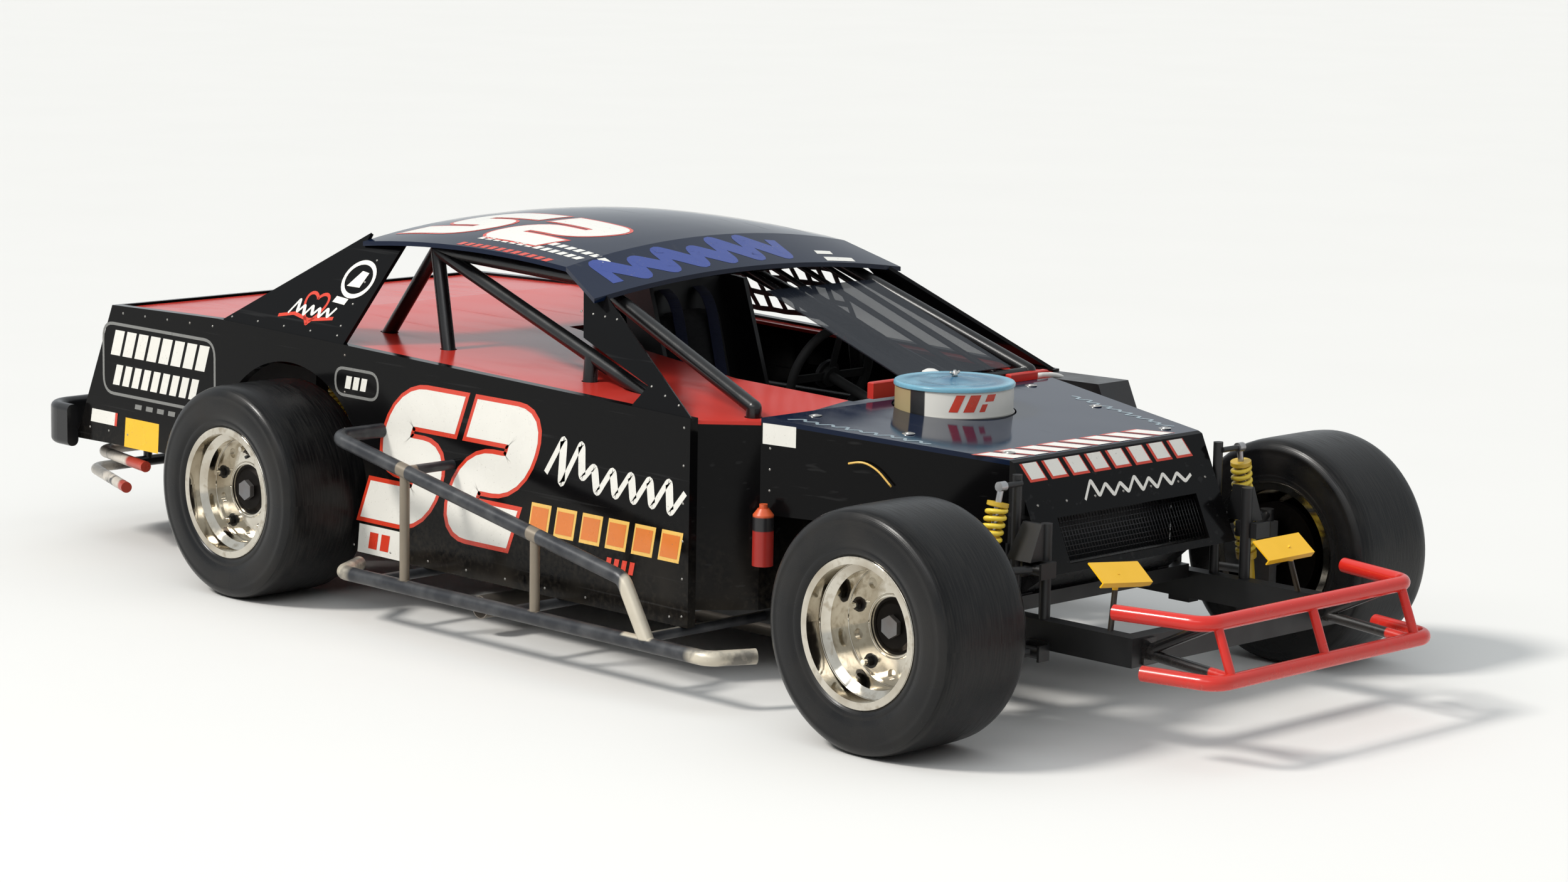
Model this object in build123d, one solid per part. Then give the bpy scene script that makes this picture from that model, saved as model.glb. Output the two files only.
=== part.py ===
from build123d import *
from math import cos, radians, sin
import os

# Open-wheel modified stock car, in millimetres.
# X is across the car, the driver sits on the +X side. The front points to -Y, and Z is up.
# Stations along the car are counted from the middle of the wheelbase. Every piece is moved
# by CENTRE_Y at the end, so that the origin lies at the middle of the length, on the ground.

# Driving dimensions
WHEELBASE = 2700
OVERALL_WIDTH = 2090
FRONT_END = -2120
REAR_END = 2640
CENTRE_Y = (FRONT_END + REAR_END) / 2
FRONT_AXLE = -WHEELBASE / 2
REAR_AXLE = WHEELBASE / 2

# Wheels and tyres
TYRE_RADIUS = 332
TYRE_WIDTH = 330
TYRE_WALL = 12
AXLE_Z = TYRE_RADIUS
TYRE_OUT = OVERALL_WIDTH / 2
TYRE_IN = TYRE_OUT - TYRE_WIDTH
RIM_OUT = TYRE_OUT - 10
RIM_IN = TYRE_IN + 10
LIP_R = 203
SEAT_R = 188
DROP_R = 166
SHEET = 5
DISC_THICK = 8
FRONT_DISH = 140
REAR_DISH = 90
LUG_COUNT = 5
LUG_CIRCLE_R = 130.2
STUD_R = 8
STUD_LENGTH = 32
VENT_R = 15
CENTRE_HOLE_R = 80
KINGPIN_X = 690
SPINDLE_R = 25
SHOULDER_X = 725
RUNNING_GAP = 0.05
KNUCKLE_LOW = 245
KNUCKLE_HIGH = 430

# Frame
RAIL_IN = 400
RAIL_OUT = 450
HORN_LOW = 230
HORN_HIGH = 310
HORN_FRONT = -1800
RAIL_BACK = 2440
FLOOR_LOW = 210
FLOOR_TOP = 214
CAGE_R = 22

# Body
BODY_X = 785
WALL = 30
INNER_X = BODY_X - WALL
SILL_FRONT_Y = -455
SILL_FRONT_Z = 764
DOOR_BACK = 1095
SILL_BACK_Z = 802
DOOR_BOTTOM = 165
ARCH_R = 385
TAIL_TOP = (2280, 800)
TAIL_LOW = (2487, 335)
SAIL_FOOT = (1720, 815)
DECK_THICK = 10
DECK_DROP = 8
COWL_Y = -570
COWL_X = 620
COWL_Z = 765
FOLD_Y = -1312
FOLD_X = 405
FOLD_Z = 719
HOOD_THICK = 14
LEAN = 0.66
PANEL_THICK = 12
ROOF_THICK = 14

# Air cleaner
CLEANER_Y = -735
CLEANER_R = 176
CLEANER_LOW = 738
CLEANER_TOP = 828

# Bumpers and side guards
BUMPER_R = 21
GUARD_R = 22
GUARD_X = 970
GUARD_LOW_Z = 150


def bar(start, end, radius):
    """Round bar between two points."""
    axis = Vector(*end) - Vector(*start)
    return extrude(Plane(origin=start, z_dir=axis) * Circle(radius), amount=axis.length)


def bent_tube(points, radius, bend):
    """Round tube along straight runs that join in round bends."""
    path = FilletPolyline(*points, radius=bend)
    return sweep(Plane(origin=path @ 0, z_dir=path % 0) * Circle(radius), path=path)


def block(x_range, y_range, z_range):
    """Box between two limits on each axis."""
    size = [high - low for low, high in (x_range, y_range, z_range)]
    centre = [(high + low) / 2 for low, high in (x_range, y_range, z_range)]
    return Pos(*centre) * Box(*size)


def side_plate(outline, inner, outer):
    """Plate with a (y, z) outline between two x positions."""
    face = make_face(Plane.YZ.offset(inner) * Polyline(*outline, close=True))
    return extrude(face, amount=outer - inner, dir=(1, 0, 0))


def plan_plate(outline, low, high):
    """Plate with an (x, y) outline between two heights."""
    face = make_face(Plane.XY.offset(low) * Polyline(*outline, close=True))
    return extrude(face, amount=high - low, dir=(0, 0, 1))


def mirrored(shape):
    """The same piece on the other side of the car."""
    return mirror(shape, about=Plane.YZ)


def both_sides(shape):
    """A piece and its mirror image, as one node."""
    return Part() + [shape, mirrored(shape)]


def sill_z(y):
    """Height of the door tops at a station."""
    share = (y - SILL_FRONT_Y) / (DOOR_BACK - SILL_FRONT_Y)
    return SILL_FRONT_Z + share * (SILL_BACK_Z - SILL_FRONT_Z)


# Roof sections: station, half width, height at the edge, height at the middle
ROOF_SECTIONS = [
    (285, 590, 1105, 1160),
    (720, 600, 1125, 1195),
    (1215, 600, 1095, 1150),
]
VISOR_SECTIONS = [
    (95, 650, 1035, 1085),
    (285, 590, 1105, 1160),
]


def roof_loft(sections, low, high, ruled):
    """Loft of arched strips between two offsets from the roof's top."""
    wires = []
    for station, half, edge, crown in sections:
        over = ThreePointArc((-half, edge + high), (0, crown + high), (half, edge + high))
        under = ThreePointArc((half, edge + low), (0, crown + low), (-half, edge + low))
        sides = [Line((half, edge + high), (half, edge + low)),
                 Line((-half, edge + low), (-half, edge + high))]
        plane = Plane(origin=(0, station, 0), x_dir=(1, 0, 0), z_dir=(0, -1, 0))
        wires.append(plane * make_face([over, sides[0], under, sides[1]]))
    return loft(wires, ruled=ruled)


def roof():
    """Crowned roof skin with its sun visor over the windshield."""
    skin = roof_loft(ROOF_SECTIONS, -ROOF_THICK, 0, False)
    visor = roof_loft(VISOR_SECTIONS, -ROOF_THICK, 0, True)
    return skin + visor


def above_roof():
    """Space from the roof's underside upward, for trimming what meets it."""
    reach = 200
    return (roof_loft(ROOF_SECTIONS, -ROOF_THICK, reach, False)
            + roof_loft(VISOR_SECTIONS, -ROOF_THICK, reach, True))


def leaning_panel(outline):
    """Panel of the greenhouse, on the plane that leans in from the sill to the roof."""
    def place(y, z):
        return (-(BODY_X - 10 - (z - sill_z(y)) * LEAN), y, z)
    face = make_face(Polyline(*[place(y, z) for y, z in outline], close=True))
    sill_slope = (SILL_BACK_Z - SILL_FRONT_Z) / (DOOR_BACK - SILL_FRONT_Y)
    normal = Vector(1, LEAN * sill_slope, -LEAN).normalized()
    return extrude(face, amount=PANEL_THICK, dir=normal)


# Greenhouse panels, as (y, z) outlines on the leaning plane
PILLAR_OUTLINE = [
    (SILL_FRONT_Y, 760), (-200, 765), (-232, 826), (107, 922), (212, 1067), (305, 1120), (110, 1120),
    (95, 1040),
]
SAIL_OUTLINE = [
    (DOOR_BACK, 800), (SAIL_FOOT[0], 800), (1215, 1120), (1040, 1120),
]


def greenhouse_panel(outline):
    """One leaning panel, trimmed under the roof and on top of the sill."""
    past = SAIL_FOOT[0] + 40
    sill_cut = side_plate([(-600, 0), (past, 0), (past, SAIL_FOOT[1]), SAIL_FOOT, (DOOR_BACK, SILL_BACK_Z),
                           (-600, sill_z(-600))], -BODY_X - 50, 0)
    return leaning_panel(outline) - above_roof() - sill_cut


def arch(side_x):
    """Round space around a rear wheel."""
    plane = Plane.YZ.offset(side_x - 100)
    return extrude(plane * Pos(REAR_AXLE, AXLE_Z) * Circle(ARCH_R), amount=200)


def door():
    """Right door wall, from the cowl to the sail panel."""
    outline = [(SILL_FRONT_Y, DOOR_BOTTOM), (DOOR_BACK, DOOR_BOTTOM), (DOOR_BACK, SILL_BACK_Z),
               (SILL_FRONT_Y, SILL_FRONT_Z)]
    return side_plate(outline, -BODY_X, -INNER_X) - arch(-BODY_X)


def quarter():
    """Right quarter wall with the rear half of the wheel arch."""
    outline = [(DOOR_BACK, 360), TAIL_LOW, TAIL_TOP, SAIL_FOOT, (DOOR_BACK, SILL_BACK_Z)]
    return side_plate(outline, -BODY_X, -INNER_X) - arch(-BODY_X)


def tail_panel():
    """Slanted panel that closes the tail between the quarters."""
    thick = 15
    outline = [TAIL_LOW, TAIL_TOP, (TAIL_TOP[0] - thick, TAIL_TOP[1]), (TAIL_LOW[0] - thick, TAIL_LOW[1])]
    return side_plate(outline, -INNER_X, INNER_X)


def deck_z(y):
    """Height of the inner deck's top at a station."""
    return sill_z(y) - DECK_DROP


# Driver's place, and the well for it in the deck in plan
DRIVER_X = 335
WELL_OUTLINE = [(-155, -480), (710, -400), (710, 1020), (90, 1020), (-160, 0)]
# Heights below and above every piece that is trimmed in plan
BELOW_PLAN = 600
ABOVE_PLAN = 900


def interior_deck():
    """Deck at sill height from the cowl to the sails, with the driver's well cut out."""
    front = deck_z(COWL_Y)
    back = deck_z(DOOR_BACK)
    slab = side_plate([(COWL_Y, front), (DOOR_BACK, back), (DOOR_BACK, back - DECK_THICK),
                       (COWL_Y, front - DECK_THICK)], -INNER_X, INNER_X)
    outline = [(-INNER_X, SILL_FRONT_Y), (-COWL_X, COWL_Y), (COWL_X, COWL_Y), (INNER_X, SILL_FRONT_Y),
               (INNER_X, DOOR_BACK), (-INNER_X, DOOR_BACK)]
    slab = slab & plan_plate(outline, BELOW_PLAN, ABOVE_PLAN)
    return slab - plan_plate(WELL_OUTLINE, BELOW_PLAN, ABOVE_PLAN) - cage_clearance() - cleaner_space()


def rear_deck():
    """Deck behind the cabin, out to the tail."""
    low = DECK_DROP + DECK_THICK
    outline = [(DOOR_BACK, SILL_BACK_Z - DECK_DROP), (SAIL_FOOT[0], SAIL_FOOT[1] - DECK_DROP),
               (TAIL_TOP[0] - 20, TAIL_TOP[1] - DECK_DROP), (TAIL_TOP[0] - 20, TAIL_TOP[1] - low),
               (SAIL_FOOT[0], SAIL_FOOT[1] - low), (DOOR_BACK, SILL_BACK_Z - low)]
    return side_plate(outline, -INNER_X, INNER_X) - cage_clearance()


def firewall():
    """Bulkhead between the engine and the cabin, angled at both ends."""
    thick = 12
    front = [(-INNER_X, SILL_FRONT_Y), (-COWL_X, COWL_Y), (COWL_X, COWL_Y), (INNER_X, SILL_FRONT_Y)]
    back = [(x, y + thick) for x, y in reversed(front)]
    wall = plan_plate(front + back, FLOOR_TOP, 900)
    top = side_plate([(-700, deck_z(-700) - DECK_THICK), (-300, deck_z(-300) - DECK_THICK), (-300, 950),
                      (-700, 950)], -INNER_X, INNER_X)
    tunnel = block((-120, 120), (-600, -500), (FLOOR_TOP, 500))
    return wall - top - tunnel - cleaner_space()


def floor_pan():
    """Floor between the doors, over the frame rails."""
    return block((-INNER_X, INNER_X), (SILL_FRONT_Y, 935), (FLOOR_LOW, FLOOR_TOP))


def cleaner_space():
    """Round space for the air cleaner in the hood and the cowl."""
    return Pos(0, CLEANER_Y, 750) * Cylinder(CLEANER_R + 5, 300)


def hood_slab(low_drop, high_rise):
    """Slanted slab over the engine bay, between two offsets from the hood's top."""
    return side_plate([(COWL_Y, COWL_Z + high_rise), (COWL_Y, COWL_Z - low_drop),
                       (FOLD_Y, FOLD_Z - low_drop), (FOLD_Y, FOLD_Z + high_rise)], -BODY_X, BODY_X)


def hood_outline():
    """The hood in plan."""
    return [(-COWL_X, COWL_Y), (COWL_X, COWL_Y), (FOLD_X, FOLD_Y), (-FOLD_X, FOLD_Y)]


def hood():
    """Hood panel with the round hole for the air cleaner."""
    panel = hood_slab(HOOD_THICK, 0) & plan_plate(hood_outline(), 600, 900)
    return panel - cleaner_space()


def engine_bay_side():
    """Right side panel of the engine bay, under the hood's edge."""
    thick = 10
    bottom = 490
    outline = [(-COWL_X, COWL_Y), (-FOLD_X, FOLD_Y), (-FOLD_X + thick, FOLD_Y), (-COWL_X + thick, COWL_Y)]
    return plan_plate(outline, bottom, 900) - hood_slab(HOOD_THICK, 200)


NOSE_LOW = (-1460, 420)
INLET_LOW = 440
INLET_HIGH = 560
INLET_HALF = 300


def nose():
    """Nose sheet from the hood's fold down to the frame horns, with the air inlet."""
    thick = 10
    outer = [(FOLD_Y, FOLD_Z), (FOLD_Y - 14, FOLD_Z - 6), NOSE_LOW, (FOLD_Y, NOSE_LOW[1])]
    inner = [(FOLD_Y, FOLD_Z - HOOD_THICK), (FOLD_Y - 8, FOLD_Z - HOOD_THICK - 6),
             (NOSE_LOW[0] + thick, NOSE_LOW[1]), (FOLD_Y, NOSE_LOW[1])]
    shell = side_plate(outer, -FOLD_X, FOLD_X) - side_plate(inner, thick - FOLD_X, FOLD_X - thick)
    return shell - block((-INLET_HALF, INLET_HALF), (-1600, FOLD_Y), (INLET_LOW, INLET_HIGH))


# Cage tubes: start, end, on the right side, each with its mirror image
HOOP_TOP_Z = 1085
ROOF_FRONT = (-500, 260, 1060)
HOOP_CORNER = (-500, 975, HOOP_TOP_Z)
COWL_CORNER = (-585, -505, 782)
HOOP_FOOT = (-600, 700, FLOOR_TOP)
HOOP_CROSS = (885, 745)
BACK_PANEL_X = (100, 512)
POST_FOOT = (-600, -490, FLOOR_TOP)
SIDE_TUBES = [
    (HOOP_FOOT, HOOP_CORNER),
    (HOOP_CORNER, ROOF_FRONT),
    (ROOF_FRONT, COWL_CORNER),
    (COWL_CORNER, POST_FOOT),
    (HOOP_CORNER, (-597, -492, 622)),
    ((-556, 205, 843), (-588, 195, 600)),
    (HOOP_CORNER, (-440, 1500, 520)),
    ((-600, -490, 420), (-600, 731, 420)),
    ((-598, -492, 600), (-580, 780, 600)),
]
# Cage tubes across the car
CROSS_TUBES = [
    (HOOP_CORNER, (500, 975, HOOP_TOP_Z)),
    (ROOF_FRONT, (500, 260, 1060)),
    ((-589, -504, 690), (589, -504, 690)),
    ((-570, *HOOP_CROSS), (570, *HOOP_CROSS)),
]
# Windshield bars on the driver's side, with their lower and upper ends as (station, height)
SHIELD_BAR_XS = (110, 220, 330, 430)
SHIELD_BAR_R = 9
SHIELD_LOW = (-505, 790)
SHIELD_HIGH = (260, 1060)
SHEET_X = (40, 500)
SHEET_LENGTH = 620


def cage_bars(radius):
    """Every main cage tube at a given radius."""
    bars = []
    for start, end in SIDE_TUBES:
        bars.append(bar(start, end, radius))
        bars.append(mirrored(bar(start, end, radius)))
    for start, end in CROSS_TUBES:
        bars.append(bar(start, end, radius))
    return bars


def cage_clearance():
    """Space that the cage needs where it passes a deck."""
    return Part() + cage_bars(CAGE_R + 4)


def back_panel():
    """Sheet behind the driver, in the plane of the main hoop, between its two cross tubes."""
    half = 5
    top_y, top_z = HOOP_CORNER[1:]
    low_y, low_z = HOOP_CROSS
    outline = [(top_y - half, top_z), (top_y + half, top_z), (low_y + half, low_z), (low_y - half, low_z)]
    return side_plate(outline, *BACK_PANEL_X)


def roll_cage():
    """Welded cage with its foot plates, the sheet behind the driver and the bars before the driver."""
    pieces = cage_bars(CAGE_R)
    for corner in (HOOP_CORNER, ROOF_FRONT, COWL_CORNER):
        for sign in (1, -1):
            pieces.append(Pos(corner[0] * sign, corner[1], corner[2]) * Sphere(CAGE_R))
    for foot in (HOOP_FOOT, POST_FOOT):
        for sign in (1, -1):
            pieces.append(Pos(foot[0] * sign, foot[1], FLOOR_TOP + 4) * Box(80, 80, 8))
    for sign in (1, -1):
        pieces.append(Pos(sign * 425, 1500, 506) * Box(50, 90, 12))
    for x in SHIELD_BAR_XS:
        pieces.append(bar((x, *SHIELD_HIGH), (x, *SHIELD_LOW), SHIELD_BAR_R))
    cowl_bar_end = SHIELD_BAR_XS[0] - 30
    pieces.append(bar((cowl_bar_end, *COWL_CORNER[1:]), (-COWL_CORNER[0], *COWL_CORNER[1:]), 12))
    pieces.append(back_panel())
    below = block((-700, 700), (-700, 2000), (0, FLOOR_TOP))
    rail_top = block((-700, 700), (1300, 1700), (0, 500))
    return Part() + pieces - below - rail_top


# Frame rail in side view: the lower edge from the front to the back, then the upper edge
RAIL_OUTLINE = [
    (HORN_FRONT, HORN_LOW), (-820, HORN_LOW), (-620, 130), (980, 130), (1180, 430), (1560, 430),
    (1740, 270), (RAIL_BACK, 270), (RAIL_BACK, 350), (1770, 350), (1590, 500), (1150, 500),
    (940, FLOOR_LOW), (-590, FLOOR_LOW), (-780, HORN_HIGH), (HORN_FRONT, HORN_HIGH),
]
# Cross members between the rails: station range, height range, half length
CROSS_MEMBERS = [
    ((HORN_FRONT, -1750), (HORN_LOW, HORN_HIGH), RAIL_IN),
    ((-1300, -1220), (290, 330), RAIL_IN),
    ((-900, -820), (240, 280), RAIL_IN),
    ((-440, -380), (140, 200), RAIL_IN),
    ((700, 760), (140, 200), RAIL_IN),
    ((1190, 1250), (440, 490), RAIL_IN),
    ((1840, 1880), (275, 300), RAIL_IN),
    ((2180, 2220), (275, 300), RAIL_IN),
    ((2390, RAIL_BACK), (280, 340), RAIL_IN),
]
# Suspension pivots on the frame: height of the lower and upper arm
ARM_PIVOT_X = 475
ARM_LEVELS = (225, 450)
ARM_STATIONS = (-1475, -1225)
PIVOT_R = 15
PIVOT_LENGTH = 60
TOWER_X = 432
TOWER_TOP = 690
SHOCK_TOP = (500, -1380, 668)
SHOCK_LOW = (600, -1365, 262)


def shock_gusset():
    """Bright folded bracket on the right tower, beside the shock."""
    front_view = [(-446, 472), (-500, 472), (-458, 572), (-446, 572)]
    face = make_face(Plane.XZ.offset(1480) * Polyline(*front_view, close=True))
    wedge = extrude(face, amount=90, dir=(0, 1, 0))
    tower = bar((-TOWER_X, -1475, 470), (-TOWER_X, -1475, 572), 16)
    return (wedge & side_plate([(-1480, 472), (-1392, 472), (-1412, 572), (-1480, 572)], -510, -400)) + tower


def frame_rails():
    """Two rails with cross members, suspension brackets and shock towers."""
    rail = side_plate(RAIL_OUTLINE, -RAIL_OUT, -RAIL_IN)
    pieces = [rail, mirrored(rail)]
    for y_range, z_range, half in CROSS_MEMBERS:
        pieces.append(block((-half, half), y_range, z_range))
    for sign in (1, -1):
        for level in ARM_LEVELS:
            for station in ARM_STATIONS:
                for edge in (-1, 1):
                    middle = station + edge * (PIVOT_LENGTH / 2 + 4)
                    ear = Pos(sign * (RAIL_OUT + ARM_PIVOT_X + 18) / 2, middle, level)
                    pieces.append(ear * Box(ARM_PIVOT_X + 18 - RAIL_OUT, 8, 44))
        for station in ARM_STATIONS:
            pieces.append(bar((sign * TOWER_X, station, HORN_HIGH - 10), (sign * TOWER_X, station, 485), 16))
            ear_link = Pos(sign * (TOWER_X + RAIL_OUT + 8) / 2, station, 450)
            pieces.append(ear_link * Box(RAIL_OUT + 8 - TOWER_X, PIVOT_LENGTH + 16, 44))
            low_link = Pos(sign * (RAIL_OUT + 4), station, 228)
            pieces.append(low_link * Box(8, PIVOT_LENGTH + 16, 50))
        pieces.append(bar((sign * TOWER_X, SHOCK_TOP[1] + 15, HORN_HIGH - 10),
                          (sign * TOWER_X, SHOCK_TOP[1] + 15, TOWER_TOP), 14))
        pieces.append(bar((sign * TOWER_X, SHOCK_TOP[1], SHOCK_TOP[2]),
                          (sign * SHOCK_TOP[0], SHOCK_TOP[1], SHOCK_TOP[2]), 8))
        pieces.append(bar((sign * 405, 1420, 490), (sign * 405, 1420, 720), 13))
    pieces.append(bar((-560, 1420, 720), (560, 1420, 720), 16))
    gusset = shock_gusset()
    return Part() + pieces + [gusset, mirrored(gusset)]


# Engine: plain block with a pair of valve covers, the valley between them and the gearbox
ENGINE_Y = (-1120, -600)
ENGINE_HALF = 250
ENGINE_LOW = 280
ENGINE_TOP = 560
COVER_IN = 90
COVER_TOP = 655
VALLEY_TOP = 610
RISER_R = 55
GEARBOX_HALF = 105
GEARBOX_Z = (300, 470)
GEARBOX_BACK = -120


def engine_block():
    """Heavy engine and gearbox mass, standing on its cross member."""
    cover_y = (ENGINE_Y[0] + 30, ENGINE_Y[1] - 30)
    body = block((-ENGINE_HALF, ENGINE_HALF), ENGINE_Y, (ENGINE_LOW, ENGINE_TOP))
    covers = both_sides(block((-ENGINE_HALF, -COVER_IN), cover_y, (ENGINE_TOP, COVER_TOP)))
    valley = block((-COVER_IN, COVER_IN), cover_y, (ENGINE_TOP, VALLEY_TOP))
    riser = bar((0, CLEANER_Y, ENGINE_TOP), (0, CLEANER_Y, CLEANER_LOW), RISER_R)
    gearbox = block((-GEARBOX_HALF, GEARBOX_HALF), (ENGINE_Y[1], GEARBOX_BACK), GEARBOX_Z)
    return body + covers + valley + riser + gearbox


def air_cleaner():
    """Round base pan and filter ring."""
    base = Pos(0, CLEANER_Y, CLEANER_LOW + 5) * Cylinder(CLEANER_R, 10)
    ring = Pos(0, CLEANER_Y, (CLEANER_LOW + CLEANER_TOP) / 2) * Cylinder(CLEANER_R - 4, 70)
    rim = Pos(0, CLEANER_Y, CLEANER_TOP - 14) * Cylinder(CLEANER_R - 4, 28)
    return base + ring + rim


def air_cleaner_lid():
    """Lid with a low centre dome and its wing nut."""
    lid = Pos(0, CLEANER_Y, CLEANER_TOP + 4) * Cylinder(CLEANER_R, 8)
    dome = Pos(0, CLEANER_Y, CLEANER_TOP + 12) * Cone(60, 40, 8)
    nut = Pos(0, CLEANER_Y, CLEANER_TOP + 26) * Cylinder(7, 20)
    wings = Pos(0, CLEANER_Y, CLEANER_TOP + 30) * Box(44, 5, 14)
    return lid + dome + nut + wings


# Radiator core, and how far its side tanks stand past it
CORE_HALF = 270
CORE_Y = (-1285, -1235)
CORE_Z = (345, 655)
TANK_WIDTH = 50
TANK_PAST_Y = 5
TANK_PAST_Z = 15


def radiator():
    """Radiator core with its tanks, on the front cross member."""
    core = block((-CORE_HALF, CORE_HALF), CORE_Y, CORE_Z)
    tank = block((-CORE_HALF - TANK_WIDTH, -CORE_HALF), (CORE_Y[0] - TANK_PAST_Y, CORE_Y[1] + TANK_PAST_Y),
                 (CORE_Z[0] - TANK_PAST_Z, CORE_Z[1] + TANK_PAST_Z))
    return core + both_sides(tank)


# Seat in side view, as (y, z): the shell under and behind the driver, and its raised sides
SEAT_SHELL = [(180, 290), (170, 330), (610, 320), (780, 960), (825, 950), (670, 270), (210, 250)]
SEAT_WING = [(170, 300), (200, 430), (520, 470), (680, 950), (780, 960), (640, 290)]
SEAT_HALF = 200
WING_THICK = 16
STAND_HALF = 150
STAND_Y = (280, 620)
STAND_TOP = 262


def seat():
    """Bucket seat shell with raised sides, on a short stand."""
    right = DRIVER_X - SEAT_HALF
    left = DRIVER_X + SEAT_HALF
    shell = side_plate(SEAT_SHELL, right, left)
    sides = [side_plate(SEAT_WING, right - WING_THICK, right), side_plate(SEAT_WING, left, left + WING_THICK)]
    stand = block((DRIVER_X - STAND_HALF, DRIVER_X + STAND_HALF), STAND_Y, (FLOOR_TOP, STAND_TOP))
    return Part() + [shell, stand] + sides


def steering_wheel():
    """Steering wheel with three spokes, on the column that runs to the bulkhead."""
    centre = Vector(DRIVER_X, 90, 720)
    axis = Vector(0, 1, 0.32).normalized()
    plane = Plane(origin=centre, x_dir=(1, 0, 0), z_dir=axis)
    rim_r = 165
    rim = plane * Torus(rim_r, 14)
    hub = plane * Cylinder(32, 24)
    pieces = [rim, hub]
    for angle in (0, 90, 180):
        arm = Rot(0, 0, -angle) * Pos(rim_r / 2, 0, 0) * Box(rim_r, 26, 5)
        pieces.append(plane * arm)
    end = centre - axis * 720
    pieces.append(bar(tuple(centre), tuple(end), 16))
    rear_face = COWL_Y + 12
    trim = block((DRIVER_X - 90, DRIVER_X + 90), (-1000, rear_face), (300, 900))
    return Part() + pieces - trim


NET_SPAN_Y = (360, 900)
NET_SPAN_Z = (815, 1075)
NET_STRAP = 22
NET_ROWS = 5
NET_COLUMNS = 9


def net_places(span, count):
    """Lower edges of evenly spaced straps within a span."""
    low, high = span
    return [low + (high - low - NET_STRAP) * i / (count - 1) for i in range(count)]


def window_net():
    """Net of straps in the driver's window, as one lattice on the leaning plane."""
    straps = []
    low, high = NET_SPAN_Z
    front, back = NET_SPAN_Y
    for z in net_places(NET_SPAN_Z, NET_ROWS):
        straps.append(leaning_panel([(front, z), (back, z), (back, z + NET_STRAP), (front, z + NET_STRAP)]))
    for y in net_places(NET_SPAN_Y, NET_COLUMNS):
        straps.append(leaning_panel([(y, low), (y + NET_STRAP, low), (y + NET_STRAP, high), (y, high)]))
    return mirrored(Part() + straps)


# Fuel cell box and its filler plate
CELL_HALF = 320
CELL_Y = (1800, 2250)
CELL_Z = (300, 600)
FILLER_R = 90
FILLER_HIGH = 20


def fuel_cell():
    """Fuel cell box on the rear cross members."""
    cell = block((-CELL_HALF, CELL_HALF), CELL_Y, CELL_Z)
    filler_y = sum(CELL_Y) / 2
    filler = bar((0, filler_y, CELL_Z[1]), (0, filler_y, CELL_Z[1] + FILLER_HIGH), FILLER_R)
    return cell + filler


def rim_points(disc_out):
    """Outer profile of the rim as (distance across, radius), from the inner lip outward."""
    drop_in = disc_out + 12
    drop_out = min(disc_out + 70, RIM_OUT - 55)
    return [
        (RIM_IN, LIP_R), (RIM_IN + 6, LIP_R), (RIM_IN + 6, SEAT_R), (RIM_IN + 45, SEAT_R),
        (disc_out - 40, DROP_R + 6), (drop_in, DROP_R), (drop_out, DROP_R), (drop_out + 15, SEAT_R),
        (RIM_OUT - 6, SEAT_R), (RIM_OUT - 6, LIP_R), (RIM_OUT, LIP_R),
    ]


def revolve_across(outline):
    """Ring around a wheel's axis from a (distance across, radius) outline, on the right side."""
    face = make_face(Plane.XY * Polyline(*[(-u, r) for u, r in outline], close=True))
    return revolve(face, Axis.X)


def wheel(disc_out):
    """Deep wheel: rolled rim and a flat disc with studs, vent holes and a round centre."""
    outer = rim_points(disc_out)
    well = [(u, r - SHEET) for u, r in outer[3:-3]]
    inner = [(RIM_IN, SEAT_R - SHEET)] + well + [(RIM_OUT, SEAT_R - SHEET)]
    rim = revolve_across(outer + inner[::-1])
    disc = revolve_across([(disc_out - DISC_THICK, CENTRE_HOLE_R), (disc_out, CENTRE_HOLE_R),
                           (disc_out, DROP_R - 3), (disc_out - DISC_THICK, DROP_R - 3)])
    studs = []
    vents = []
    for i in range(2 * LUG_COUNT):
        angle = radians(i * 180 / LUG_COUNT + 90)
        y = LUG_CIRCLE_R * cos(angle)
        z = LUG_CIRCLE_R * sin(angle)
        if i % 2 == 0:
            studs.append(bar((-disc_out + DISC_THICK, y, z), (-disc_out - STUD_LENGTH, y, z), STUD_R))
        else:
            vents.append(bar((-disc_out - 5, y, z), (-disc_out + DISC_THICK + 5, y, z), VENT_R))
    return Part() + [rim, disc] - vents + studs


def tyre():
    """Slick tyre carcass on the rim's bead seats."""
    middle = (TYRE_IN + TYRE_OUT) / 2
    half = TYRE_WIDTH / 2
    outer = [(half - 16, SEAT_R), (half - 16, LIP_R), (half - 4, LIP_R + 14), (half, 262), (half - 5, 306),
             (half - 22, TYRE_RADIUS - 6), (half - 60, TYRE_RADIUS)]
    inner = [(half - 60, TYRE_RADIUS - TYRE_WALL), (half - 28, TYRE_RADIUS - TYRE_WALL - 8),
             (half - 14, 262), (half - 40, SEAT_R)]
    right = [(middle + u, r) for u, r in outer]
    left = [(middle - u, r) for u, r in outer]
    cavity_right = [(middle + u, r) for u, r in inner]
    cavity_left = [(middle - u, r) for u, r in inner]
    return revolve_across(right + left[::-1] + cavity_left[::-1] + cavity_right)


def hub(disc_out):
    """Turning hub with its drum, wheel flange and brake disc, bored for the spindle."""
    face = disc_out - DISC_THICK
    bore = SPINDLE_R + RUNNING_GAP
    outline = [
        (SHOULDER_X, bore), (SHOULDER_X, 55), (SHOULDER_X + 12, 55), (SHOULDER_X + 12, 145),
        (SHOULDER_X + 32, 145), (SHOULDER_X + 32, 66), (face - 12, 66), (face - 12, 146), (face, 146),
        (face, 70), (face + 6, 60), (face + 6, bore),
    ]
    return revolve_across(outline)


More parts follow.
